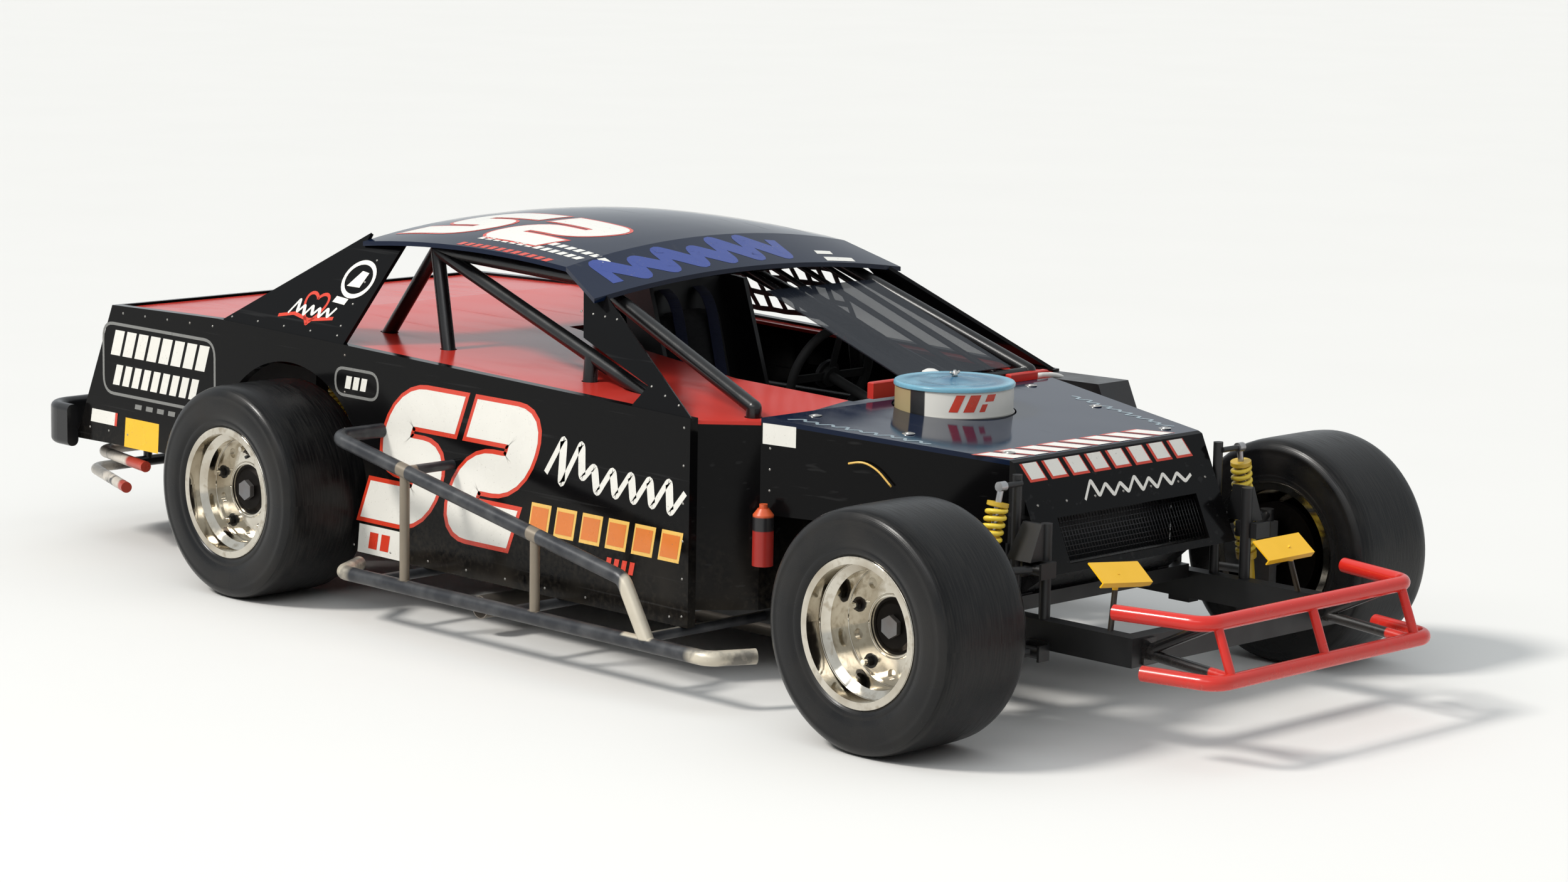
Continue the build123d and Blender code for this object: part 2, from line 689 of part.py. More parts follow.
def spindle(disc_out):
    """Fixed spindle with its shoulder and its outer nut."""
    face = disc_out - DISC_THICK + 6
    shoulder = bar((-KINGPIN_X - 15, 0, 0), (-SHOULDER_X, 0, 0), 42)
    pin = bar((-KINGPIN_X, 0, 0), (-face - 8, 0, 0), SPINDLE_R)
    nut = extrude(Plane(origin=(-face - 1, 0, 0), z_dir=(-1, 0, 0)) * RegularPolygon(32, 6), amount=16)
    return shoulder + pin + nut


def placed(shape, station):
    """Move a wheel piece to its axle."""
    return Pos(0, station, AXLE_Z) * shape


def knuckle():
    """Front upright with its bosses, spindle and steering arm."""
    upright = block((-KINGPIN_X - 17, -KINGPIN_X + 17), (FRONT_AXLE - 28, FRONT_AXLE + 28),
                    (KNUCKLE_LOW, KNUCKLE_HIGH))
    bore = Pos(-KINGPIN_X, FRONT_AXLE, 0) * Cylinder(8 + RUNNING_GAP, 3000)
    middle = block((-KINGPIN_X - 17, -KINGPIN_X + 17), (FRONT_AXLE - 28, FRONT_AXLE + 28), (285, 390))
    arm = bar((-KINGPIN_X, FRONT_AXLE + 10, 275), (-KINGPIN_X + 25, FRONT_AXLE + 150, 275), 13)
    end = placed(spindle(RIM_OUT - FRONT_DISH) + caliper(KINGPIN_X), FRONT_AXLE)
    return (upright - bore) + middle + end + arm


def front_arm(level, boss_low, boss_high, stud_up):
    """A-arm from two frame pivots to its ball joint boss."""
    pieces = []
    for station in ARM_STATIONS:
        pieces.append(bar((-ARM_PIVOT_X, station - PIVOT_LENGTH / 2, level),
                          (-ARM_PIVOT_X, station + PIVOT_LENGTH / 2, level), PIVOT_R))
        pieces.append(bar((-ARM_PIVOT_X, station, level),
                          (-KINGPIN_X, FRONT_AXLE, (boss_low + boss_high) / 2), 11))
    middle = (boss_low + boss_high) / 2
    pieces.append(Pos(-KINGPIN_X, FRONT_AXLE, middle) * Cylinder(20, boss_high - boss_low))
    stud_low, stud_high = (middle, boss_high + 30) if stud_up else (boss_low - 30, middle)
    pieces.append(bar((-KINGPIN_X, FRONT_AXLE, stud_low), (-KINGPIN_X, FRONT_AXLE, stud_high), 8))
    return Part() + pieces


def front_arms():
    """Upper and lower arms on both sides."""
    lower = front_arm(ARM_LEVELS[0], KNUCKLE_LOW - 34, KNUCKLE_LOW, True)
    seat_pad = Pos(-SHOCK_LOW[0], FRONT_AXLE - 10, 240) * Box(40, 70, 20)
    upper = front_arm(ARM_LEVELS[1], KNUCKLE_HIGH, KNUCKLE_HIGH + 34, False)
    return Part() + [lower + seat_pad, upper, mirrored(lower + seat_pad), mirrored(upper)]


def coil_over(top, low, spring_r, coils):
    """Shock absorber with its spring as stacked rings, from the lower eye to the upper."""
    start = Vector(*low)
    end = Vector(*top)
    axis = (end - start).normalized()
    length = (end - start).length
    body = bar(tuple(start + axis * 20), tuple(start + axis * length * 0.6), 22)
    rod = bar(tuple(start + axis * length * 0.5), tuple(end), 9)
    seats = [bar(tuple(start + axis * length * share), tuple(start + axis * (length * share + 8)), spring_r)
             for share in (0.22, 0.86)]
    rings = []
    for i in range(coils):
        share = 0.27 + 0.57 * i / (coils - 1)
        rings.append(bar(tuple(start + axis * length * share),
                         tuple(start + axis * (length * share + 9)), spring_r - 2))
    core = bar(tuple(start + axis * length * 0.22), tuple(start + axis * length * 0.88), spring_r - 10)
    eye = bar(tuple(start), tuple(start + axis * 30), 14)
    return Part() + [body, rod, eye, core] + seats + rings


def front_shock():
    """Right coil-over between the lower arm and its tower."""
    top = (-SHOCK_TOP[0] - 12, SHOCK_TOP[1], SHOCK_TOP[2] + 4)
    low = (-SHOCK_LOW[0], SHOCK_LOW[1] + 5, 250)
    shock = coil_over(top, low, 31, 7)
    shock = shock - block((-900, 0), (-2000, 0), (0, 250))
    pin = bar((-SHOCK_TOP[0] - 24, SHOCK_TOP[1], SHOCK_TOP[2]), (-SHOCK_TOP[0], SHOCK_TOP[1], SHOCK_TOP[2]), 14)
    return shock + pin


# Brake calipers as a C outline around the disc, (distance across, radius)
CALIPER_OUTLINE = [
    (713, 100), (713, 172), (778, 172), (778, 100), (762, 100), (762, 151), (732, 151), (732, 100),
]


def caliper(seat_x):
    """Caliper behind the axle, with its bracket toward the car's middle, on the right side."""
    ring = revolve_across(CALIPER_OUTLINE)
    sector = block((-800, -700), (70, 200), (-62, 62))
    bracket = block((-713, -seat_x), (20, 150), (-16, 16))
    return (ring & sector) + bracket


# Rear suspension links and the driveshaft
LINK_X = 480
LINK_FRONT = (850, 170)
LINK_BACK = (1340, 268)
SHAFT_R = 38
PINION_BACK = 230


def rear_link():
    """Right trailing link from its pin on the frame to the bracket under the axle."""
    link = bar((-LINK_X, *LINK_FRONT), (-LINK_X, *LINK_BACK), 12)
    pin = bar((-RAIL_OUT - 0.05, *LINK_FRONT), (-LINK_X - 18, *LINK_FRONT), 15)
    bracket = block((-LINK_X - 18, -LINK_X + 18), (REAR_AXLE - 35, REAR_AXLE + 35), (245, AXLE_Z))
    return Part() + [link, pin, bracket]


def rear_axle():
    """Axle tubes with the gear housing, spindles, calipers, trailing links and driveshaft."""
    tube = bar((-SHOULDER_X + 20, REAR_AXLE, AXLE_Z), (SHOULDER_X - 20, REAR_AXLE, AXLE_Z), 38)
    drum = bar((-95, REAR_AXLE, AXLE_Z), (95, REAR_AXLE, AXLE_Z), 130)
    cover = bar((0, REAR_AXLE, AXLE_Z), (0, REAR_AXLE + 165, AXLE_Z), 85)
    pinion = bar((0, REAR_AXLE, AXLE_Z), (0, REAR_AXLE - PINION_BACK, AXLE_Z), 50)
    spring_seat = Pos(-540, REAR_AXLE + 40, AXLE_Z + 30) * Box(70, 70, 30)
    end = placed(spindle(RIM_OUT - REAR_DISH) + caliper(KINGPIN_X), REAR_AXLE)
    shaft = bar((0, GEARBOX_BACK - 60, 385), (0, REAR_AXLE - 150, AXLE_Z + 4), SHAFT_R)
    shaft = shaft & block((-60, 60), (GEARBOX_BACK + 0.1, REAR_AXLE - 150), (0, 600))
    right = Part() + [spring_seat, end, rear_link()]
    return Part() + [tube, drum, cover, pinion, shaft, right, mirrored(right)]


def rear_shock():
    """Right coil-over between the axle and the frame's top cross tube."""
    shock = coil_over((-540, 1420, 690), (-540, 1400, 377), 31, 7)
    cap = block((-560, -520), (1404, 1436), (690, 704))
    return (shock - block((-900, 0), (1000, 1800), (0, 377))) + cap


# Front bumper rails: height, front station, corner half width, end station, end half width
BUMPER_RAILS = [
    (385, -2040, 440, -1775, 500),
    (240, FRONT_END + BUMPER_R, 465, -1884, 508),
]
BUMPER_BEND = 60
BUMPER_POST_XS = (-400, 0, 400)
BUMPER_STRUT_X = 385


def front_bumper():
    """Two tube rails in a U, three posts and the struts to the frame."""
    (upper_z, upper_y), (lower_z, lower_y) = [rail[:2] for rail in BUMPER_RAILS]
    pieces = []
    for z, y, corner_x, end_y, end_x in BUMPER_RAILS:
        points = [(-end_x, end_y, z), (-corner_x, y, z), (corner_x, y, z), (end_x, end_y, z)]
        pieces.append(bent_tube(points, BUMPER_R, BUMPER_BEND))
    for x in BUMPER_POST_XS:
        pieces.append(bar((x, upper_y, upper_z), (x, lower_y, lower_z), 13))
    for x in (-BUMPER_STRUT_X, BUMPER_STRUT_X):
        pieces.append(bar((x, HORN_FRONT, 270), (x, upper_y, upper_z), 15))
        pieces.append(bar((x, HORN_FRONT, 262), (x, lower_y, lower_z), 15))
        pieces.append(block((x - 25, x + 25), (HORN_FRONT - 8, HORN_FRONT), (235, 305)))
    behind = block((-450, 450), (HORN_FRONT, -1700), (200, 340))
    return Part() + pieces - behind


# Blank plates on the frame horns: middle across the car and height, with the tilt to each side in degrees
PLATES = [
    (-376, 462, 6),
    (330, 445, 0),
]
PLATE_Y = -1690
PLATE_SIZE = (205, 76, 4)
PLATE_PITCH = 38
PLATE_LIP = 18
PLATE_POST_X = 412


def front_plate(x, z, lean):
    """Blank plate with its front edge bent down, on a post from the frame horn."""
    width, depth, thick = PLATE_SIZE
    place = Pos(x, PLATE_Y, z) * Rot(0, lean, 0) * Rot(PLATE_PITCH, 0, 0)
    plate = place * Box(width, depth, thick)
    lip = place * Pos(0, (thick - depth) / 2, (thick - PLATE_LIP) / 2) * Box(width, thick, PLATE_LIP)
    side = 1 if x > 0 else -1
    post = bar((side * PLATE_POST_X, PLATE_Y, HORN_HIGH - 20), (side * (abs(x) + 15), PLATE_Y, z), 8)
    horn = block((-RAIL_OUT, RAIL_OUT), (PLATE_Y - 30, PLATE_Y + 30), (HORN_LOW, HORN_HIGH))
    return plate + lip + (post - horn)


def front_plates():
    """The two blank plates over the frame horns."""
    return Part() + [front_plate(*row) for row in PLATES]


# Rear bumper: the deep bar, and the light rails below it as height, end and back (half width, station)
BAR_X = 812
BAR_Z = 380
BAR_DEPTH = 44
BAR_HEIGHT = 140
BAR_BEND = 90
BAR_FRONT = 2470
HOOP_RAILS = [
    (282, (772, 2120), (690, 2490)),
    (205, (792, 2200), (650, 2585)),
]
HOOP_R = 18
HOOP_BEND = 70
STRUT_X = 425


def rear_bumper():
    """Deep upper bar with round corners and two tube rails below it, on two struts."""
    back = REAR_END - BAR_DEPTH / 2
    path = FilletPolyline((-BAR_X, BAR_FRONT, BAR_Z), (-BAR_X, back, BAR_Z), (BAR_X, back, BAR_Z),
                          (BAR_X, BAR_FRONT, BAR_Z), radius=BAR_BEND)
    section = Plane(origin=path @ 0, x_dir=(1, 0, 0), z_dir=path % 0)
    pieces = [sweep(section * RectangleRounded(BAR_DEPTH, BAR_HEIGHT, 20), path=path)]
    for z, (end_x, end_y), (back_x, back_y) in HOOP_RAILS:
        points = [(-end_x, end_y, z), (-back_x, back_y, z), (back_x, back_y, z), (end_x, end_y, z)]
        pieces.append(bent_tube(points, HOOP_R, HOOP_BEND))
    for x in (-STRUT_X, STRUT_X):
        pieces.append(block((x - 20, x + 20), (RAIL_BACK, back), (295, 335)))
        pieces.append(bar((x, HOOP_RAILS[1][2][1], HOOP_RAILS[1][0]), (x, HOOP_RAILS[1][2][1], 320), 15))
    return Part() + pieces


# Side guard: posts between the two rails, and the ends of the rails as (station, height)
GUARD_POST_YS = (565, -15)
GUARD_HIGH = (895, 560)
GUARD_KNEE = (-385, 322)
GUARD_FOOT_Y = -490
GUARD_LOW_YS = (-790, 860)
GUARD_BRACE_YS = (700, 100, -420)
GUARD_POST_R = 15
GUARD_BEND = 50


def guard_z(y):
    """Height of the sloping upper guard rail."""
    share = (y - GUARD_KNEE[0]) / (GUARD_HIGH[0] - GUARD_KNEE[0])
    return GUARD_KNEE[1] + share * (GUARD_HIGH[1] - GUARD_KNEE[1])


def side_guard(side):
    """Side guard (side is -1 on the right): two rails, posts, and braces to the frame and the door."""
    out = side * GUARD_X
    inner = side * (BODY_X + 60)
    front, back = GUARD_LOW_YS
    lower = bent_tube([(inner, back + 70, GUARD_LOW_Z), (out, back, GUARD_LOW_Z),
                       (out, front + 60, GUARD_LOW_Z), (inner, front, GUARD_LOW_Z)], GUARD_R, GUARD_BEND)
    upper = bent_tube([(side * BODY_X, *GUARD_HIGH), (out, *GUARD_HIGH), (out, *GUARD_KNEE),
                       (out, GUARD_FOOT_Y, GUARD_LOW_Z)], GUARD_R, GUARD_BEND)
    pieces = [lower, upper]
    for y in GUARD_POST_YS:
        pieces.append(bar((out, y, GUARD_LOW_Z), (out, y, guard_z(y)), GUARD_POST_R))
    for y in GUARD_BRACE_YS:
        pieces.append(bar((out, y, GUARD_LOW_Z), (side * RAIL_OUT, y, GUARD_LOW_Z), GUARD_POST_R))
    stay_y = GUARD_POST_YS[0]
    pieces.append(bar((out, stay_y, guard_z(stay_y)), (side * BODY_X, stay_y, guard_z(stay_y)), GUARD_POST_R))
    return Part() + pieces


def windshield():
    """Flat clear sheet before the driver, over the windshield bars."""
    low = Vector(SHEET_X[0], *SHIELD_LOW)
    normal = Vector(0, SHIELD_LOW[1] - SHIELD_HIGH[1], SHIELD_HIGH[0] - SHIELD_LOW[0]).normalized()
    plane = Plane(origin=low + normal * (SHIELD_BAR_R + 0.3), x_dir=(1, 0, 0), z_dir=normal)
    width = SHEET_X[1] - SHEET_X[0]
    flat = plane * Pos(width / 2, SHEET_LENGTH / 2) * Rectangle(width, SHEET_LENGTH)
    return extrude(flat, amount=4)


# Bulkhead tanks: the round one on the right, the box on the left
CATCH_TANK = (-655, -620)
CATCH_TANK_R = 30
CATCH_TANK_Z = (355, 500)
BOX_TANK_X = (640, 780)
BOX_TANK_LOW = 560


def catch_tank():
    """Small upright tank with a domed top and cap, on two pegs from the bulkhead."""
    x, y = CATCH_TANK
    low, high = CATCH_TANK_Z
    can = bar((x, y, low), (x, y, high), CATCH_TANK_R)
    dome = Pos(x, y, high + 9) * Cone(CATCH_TANK_R, 16, 18)
    cap = bar((x, y, high + 18), (x, y, high + 30), 12)
    along = Vector(COWL_X - INNER_X, SILL_FRONT_Y - COWL_Y).normalized()
    outward = Vector(-along.Y, along.X)
    offset = outward.dot(Vector(x + COWL_X, y - COWL_Y))
    reach = offset - (0.05 if offset > 0 else -0.05)
    pegs = [bar((x, y, z), (x - outward.X * reach, y - outward.Y * reach, z), 8) for z in (low + 30, high - 30)]
    return Part() + [can, dome, cap] + pegs


def box_tank():
    """Black box tank against the left part of the bulkhead, with a raked front."""
    low, high = BOX_TANK_X
    share = (low - COWL_X) / (INNER_X - COWL_X)
    back = COWL_Y + share * (SILL_FRONT_Y - COWL_Y)
    gap = 0.1
    outline = [(low, back - gap), (INNER_X, SILL_FRONT_Y - gap), (high, SILL_FRONT_Y - gap), (high, -820),
               (low, -820)]
    rake = [(SILL_FRONT_Y, BOX_TANK_LOW), (SILL_FRONT_Y, 757), (-735, 762), (-805, 610), (-805, BOX_TANK_LOW)]
    return plan_plate(outline, BOX_TANK_LOW, 900) & side_plate(rake, low, high)


# Exhaust: one pipe on each side, from the engine down under the floor and out below the door
EXHAUST_R = 35
EXHAUST_Z = 89
EXHAUST_OUT_YS = {-1: 420, 1: 300}


def exhaust_pipe(side):
    """Header log, downpipe and side pipe (side is -1 on the right)."""
    log_x = side * 315
    out_y = EXHAUST_OUT_YS[side]
    log = bar((log_x, -1085, 520), (log_x, -640, 520), 30)
    stubs = [bar((side * 250.1, y, 520), (log_x, y, 520), 22) for y in (-1060, -930, -800, -670)]
    pipe = bent_tube([(log_x, -665, 520), (log_x, -665, EXHAUST_Z), (log_x, out_y, EXHAUST_Z),
                      (side * (BODY_X + 15), out_y, EXHAUST_Z)], EXHAUST_R, 90)
    bore = bar((side * 600, out_y, EXHAUST_Z), (side * (BODY_X + 30), out_y, EXHAUST_Z), EXHAUST_R - 3)
    return (Part() + [log, pipe] + stubs) - bore


def turned(shape):
    """A wheel turned by half a stud gap about its axis."""
    return Rot(180 / LUG_COUNT, 0, 0) * shape


def build_nodes():
    """Every node of the car by name, on stations from mid wheelbase."""
    nodes = {
        "frame_rails": frame_rails(),
        "roll_cage": roll_cage(),
        "floor_pan": floor_pan(),
        "firewall": firewall(),
        "engine_block": engine_block(),
        "exhaust_pipes": Part() + [exhaust_pipe(-1), exhaust_pipe(1)],
        "air_cleaner": air_cleaner(),
        "air_cleaner_lid": air_cleaner_lid(),
        "radiator": radiator(),
        "bulkhead_tanks": Part() + [catch_tank(), box_tank()],
        "hood": hood(),
        "nose": nose(),
        "engine_bay_sides": both_sides(engine_bay_side()),
        "roof": roof(),
        "pillar_panels": both_sides(greenhouse_panel(PILLAR_OUTLINE)),
        "sail_panels": both_sides(greenhouse_panel(SAIL_OUTLINE)),
        "interior_deck": interior_deck(),
        "rear_deck": rear_deck(),
        "tail_panel": tail_panel(),
        "windshield": windshield(),
        "seat": seat(),
        "steering_wheel": steering_wheel(),
        "window_net": window_net(),
        "fuel_cell": fuel_cell(),
        "front_arms": front_arms(),
        "rear_axle": rear_axle(),
        "coil_overs": Part() + [both_sides(front_shock()), both_sides(rear_shock())],
        "front_bumper": front_bumper(),
        "front_plates": front_plates(),
        "rear_bumper": rear_bumper(),
        "side_guards": Part() + [side_guard(-1), side_guard(1)],
    }
    pairs = {
        "door": door(),
        "quarter": quarter(),
        "knuckle": knuckle(),
        "front_tyre": placed(tyre(), FRONT_AXLE),
        "rear_tyre": placed(tyre(), REAR_AXLE),
    }
    for name, shape in pairs.items():
        nodes[name + "_right"] = shape
        nodes[name + "_left"] = mirrored(shape)
    for name, dish, station in (("front_wheel", FRONT_DISH, FRONT_AXLE), ("rear_wheel", REAR_DISH, REAR_AXLE)):
        shape = wheel(RIM_OUT - dish) + hub(RIM_OUT - dish)
        nodes[name + "_right"] = placed(shape, station)
        nodes[name + "_left"] = placed(turned(mirrored(shape)), station)
    return nodes


def main():
    os.makedirs("parts", exist_ok=True)
    for name, shape in build_nodes().items():
        export_step(Pos(0, -CENTRE_Y, 0) * shape, f"parts/{name}.step")


main()
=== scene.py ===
import math

import bmesh
import bpy
from mathutils import Matrix, Vector
from mathutils.bvhtree import BVHTree


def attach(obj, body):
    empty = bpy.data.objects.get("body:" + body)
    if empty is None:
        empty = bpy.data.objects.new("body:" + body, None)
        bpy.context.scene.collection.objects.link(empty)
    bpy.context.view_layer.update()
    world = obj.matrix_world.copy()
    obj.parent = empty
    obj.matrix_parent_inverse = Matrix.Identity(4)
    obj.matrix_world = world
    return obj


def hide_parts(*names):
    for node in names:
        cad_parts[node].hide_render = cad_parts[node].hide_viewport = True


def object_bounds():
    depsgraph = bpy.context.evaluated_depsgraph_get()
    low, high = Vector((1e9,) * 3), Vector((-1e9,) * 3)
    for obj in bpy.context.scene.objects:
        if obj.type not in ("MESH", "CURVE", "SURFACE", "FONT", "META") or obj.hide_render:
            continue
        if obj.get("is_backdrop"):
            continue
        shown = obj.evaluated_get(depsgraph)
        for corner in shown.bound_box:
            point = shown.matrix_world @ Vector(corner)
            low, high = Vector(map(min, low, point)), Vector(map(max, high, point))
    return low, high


# Open-wheel modified stock car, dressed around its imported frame. Metres, +X to the driver's side,
# the front points to -Y, and Z is up. The origin is on the ground at the middle of the length.

# Places that the CAD model fixes
AXLE_Z = 0.332
DOOR_X = 0.785
TYRE_MIDDLE_X = 0.88
RIM_OUT_X = 1.035
DISC_X = {"front": 0.895, "rear": 0.945}
AXLE_Y = {"front": -1.61, "rear": 1.09}
STUD_RING_R = 0.1302
STUD_COUNT = 5
SILL_FRONT = (-0.715, 0.764)
SILL_BACK = (0.835, 0.802)
TAIL_TOP = (2.02, 0.800)
TAIL_LOW = (2.227, 0.335)
COWL = (-0.83, 0.765)
COWL_X = 0.62
FOLD = (-1.572, 0.719)
FOLD_X = 0.405
NOSE_TOP = (-1.586, 0.713)
NOSE_LOW = (-1.72, 0.42)
LEAN = 0.66
LEAN_FOOT_X = 0.775
CLEANER = (0.0, -0.995)
CLEANER_R = 0.176
CLEANER_BAND_R = 0.172
CLEANER_MARKS_AT = 243
CLEANER_TOP = 0.828
DRIVER_X = 0.335
NET_Y = (0.111, 0.629)
NET_Z = (0.826, 1.064)
NET_ROWS = 5
NET_COLUMNS = 9
NET_STRAP = 0.022
NET_THICK = 0.0022
NET_WEAVE = 0.0016
NET_SAG = 0.002
NET_FINE = 4
NET_STITCH = ((-1, -1), (1, -1), (1, 1), (-1, 1), (-1, -1), (1, 1))
NET_STITCH_LIFT = 0.0034
NET_THREAD = 0.0006
NET_DEPTH = 0.005
INLET_HALF = 0.296
INLET_Z = (0.444, 0.556)
INLET_WIRE = 0.0011
RADIATOR_Y = -1.552
RADIATOR_HALF = 0.318
RADIATOR_Z = (0.334, 0.668)
DAMPER_EYES = {
    "front": ((0.600, -1.620, 0.250), (0.512, -1.640, 0.672)),
    "rear": ((0.540, 1.140, 0.377), (0.540, 1.160, 0.700)),
}

# Small parts: (radius, height) of rivets and nuts, (width, thickness) of belts, the helical springs,
# steps around a tyre, and the degrees from which an edge stays sharp
RIVET = (0.0042, 0.0020)
LUG_NUT = (0.0145, 0.017)
SMALL_NUT = (0.006, 0.006)
BELT = (0.048, 0.003)
SPRING_TURNS = 13
SPRING_STEPS = 28
SPRING_R = 0.0245
SPRING_WIRE = 0.0070
SPRING_FROM = 0.252
SPRING_RUN = 0.608
TYRE_STEPS = 128
SHARP = 35

# Seat pads: steps of their faces, their sewn channels, and how they swell, with the farthest that a
# point may move
PAD_GRID = (16, 20)
SEAM_DEPTH = 0.35
SEAM_AT = 0.34
SEAM_WIDTH = 0.045
PUFF_VOXEL = 0.006
PUFF_PRESSURE = 4.0
PUFF_FRAMES = 20
PUFF_LIMIT = 0.006

# Camera, solved from the photograph
CAMERA_AT = (-8.385, -8.606, 2.505)
CAMERA_TARGET = (0.031, -0.277, 0.560)
CAMERA_ROLL = 1.06
CAMERA_LENS = 91.07

# Stage: sun, strip lamp, sky and the pale ground and backdrop
SUN_POWER = 2.4
SUN_SPREAD = 12.0
SUN_TOWARD = (-0.62, 0.30, 0.72)
SUN_COLOR = (1.0, 0.97, 0.92)
STRIP_AT = (-7.0, -3.0, 5.5)
STRIP_TARGET = (0, -0.3, 0.5)
STRIP_SIZE = (7.0, 1.6)
STRIP_POWER = 110.0
SKY_RISE = (0.10, 0.95)
SKY_POWER = (0.08, 1.05)
SKY_COLOR = (0.92, 0.97, 1.0)
BACKDROP = 0.74
FLOOR_HALF = 120.0
FLOOR_COLORS = ((0.745, 0.735, 0.715), (0.755, 0.745, 0.725))

# How far a mark stands off the panel that it lies on, and the longest step of its mesh
SKIN = 0.0006
STEP = 0.03

# Colours, linear
BLACK = (0.0036, 0.0035, 0.0038)
NAVY = (0.004, 0.010, 0.030)
RED = (0.60, 0.042, 0.030)
BUMPER_RED = (0.60, 0.022, 0.014)
MARK_RED = (0.66, 0.045, 0.018)
WHITE = (0.82, 0.80, 0.74)
ORANGE = (0.72, 0.20, 0.035)
AMBER = (0.85, 0.52, 0.12)
YELLOW = (0.93, 0.52, 0.010)
SHOCK_YELLOW = (0.90, 0.66, 0.06)
BLUE = (0.014, 0.042, 0.250)
PALE_BLUE = (0.16, 0.38, 0.50)
GREY_LINE = (0.20, 0.20, 0.19)
DUST = (0.20, 0.165, 0.12)
RUST = (0.16, 0.075, 0.035)
SATIN = (0.010, 0.010, 0.011)
DARK_BAND = (0.012, 0.012, 0.013)
CREAM = (0.62, 0.56, 0.45)
PIPE = (0.24, 0.21, 0.18)
FROST = (0.22, 0.29, 0.33)
VINYL_COLORS = {
    "white": WHITE, "red": MARK_RED, "orange": ORANGE, "amber": AMBER, "yellow": YELLOW, "blue": BLUE,
    "grey": GREY_LINE, "frost": FROST,
}

# Outlines of turned pieces, as (distance along the axis, radius)
LUG_WASHER = [(0.0, 0.0205), (0.0025, 0.0205), (0.0030, 0.0120)]
VALVE_STEM = [(0, 0.006), (0.012, 0.006), (0.014, 0.0042), (0.030, 0.0042), (0.031, 0.0052), (0.040, 0.0052)]
HOOD_FASTENER = [
    (0, 0.019), (0.0018, 0.0185), (0.0024, 0.012), (0.0016, 0.0105), (0.0042, 0.0095), (0.0046, 0.004),
]
FILLER_CAP = [(0, 0.060), (0.012, 0.060), (0.016, 0.056), (0.017, 0.030), (0.022, 0.029), (0.023, 0.010)]
NUT_BODY = [(0, 0.009), (0.008, 0.0075), (0.012, 0.006), (0.019, 0.004)]
NUT_WING = [(0, 0.0020), (0.006, 0.0036), (0.012, 0.0042), (0.016, 0.0030)]
BUCKLE = [(0, 0.033), (0.010, 0.033), (0.014, 0.028), (0.015, 0.012), (0.019, 0.011), (0.020, 0.004)]
HUB_PAD = [(0.008, 0.046), (0.020, 0.046), (0.025, 0.041), (0.0265, 0.020), (0.0265, 0.001)]

# Rivet rows as (start, end, pitch), on the sides, the leaning panels and the engine bay; the places of
# the hood's fasteners; and the ends of the hood's scripts
SIDE_RIVETS = [
    ((-0.690, 0.195), (-0.690, 0.735), 0.108), ((0.815, 0.200), (0.815, 0.770), 0.114),
    ((-0.640, 0.187), (0.770, 0.187), 0.176), ((1.480, 0.788), (1.960, 0.778), 0.120),
    ((1.940, 0.380), (2.150, 0.380), 0.105),
]
LEAN_RIVETS = [
    ((-0.095, 0.990), (-0.250, 0.983), 0.052), ((-0.640, 0.790), (-0.505, 0.826), 0.070),
    ((0.880, 0.822), (1.400, 0.826), 0.130), ((0.885, 0.850), (0.868, 1.045), 0.066),
]
BAY_RIVETS = [((0.030, 0.560), (0.030, 0.680), 0.060)]
HOOD_FASTENERS = [
    (-0.46, -0.885), (0.46, -0.885), (-0.335, -1.505), (0.335, -1.505), (-0.40, -1.19), (0.40, -1.19),
]
HOOD_SCRIPT_ENDS = {"right": ((-0.570, -0.885), (-0.470, -1.300)), "left": ((0.385, -1.500), (0.480, -1.010))}

# The way up, the corners of a square, and both sides of the car
UP = (0, 0, 1)
CORNERS = ((-1, -1), (1, -1), (1, 1), (-1, 1))
SIDES = (("right", -1), ("left", 1))


class Nodes:
    """Short ways to build a node tree."""

    def __init__(self, owner):
        owner.use_nodes = True
        self.tree = owner.node_tree

    def feed(self, target, value):
        """Plain values are set, and outputs are linked."""
        if isinstance(value, bpy.types.NodeSocket):
            self.tree.links.new(value, target)
        elif isinstance(value, (tuple, list)) and target.type == "RGBA":
            target.default_value = (*value[:3], 1.0)
        else:
            target.default_value = value

    def add(self, kind, inputs=(), **settings):
        """A new node with its settings and its inputs by name or number."""
        node = self.tree.nodes.new(kind)
        for key, value in settings.items():
            setattr(node, key, value)
        for key, value in dict(inputs).items():
            self.feed(node.inputs[key], value)
        return node

    def calc(self, operation, a, b=0.0):
        return self.add("ShaderNodeMath", {0: a, 1: b}, operation=operation).outputs[0]

    def times(self, a, b):
        return self.calc("MULTIPLY", a, b)

    def plus(self, a, b):
        return self.calc("ADD", a, b)

    def most(self, a, b):
        return self.calc("MAXIMUM", a, b)


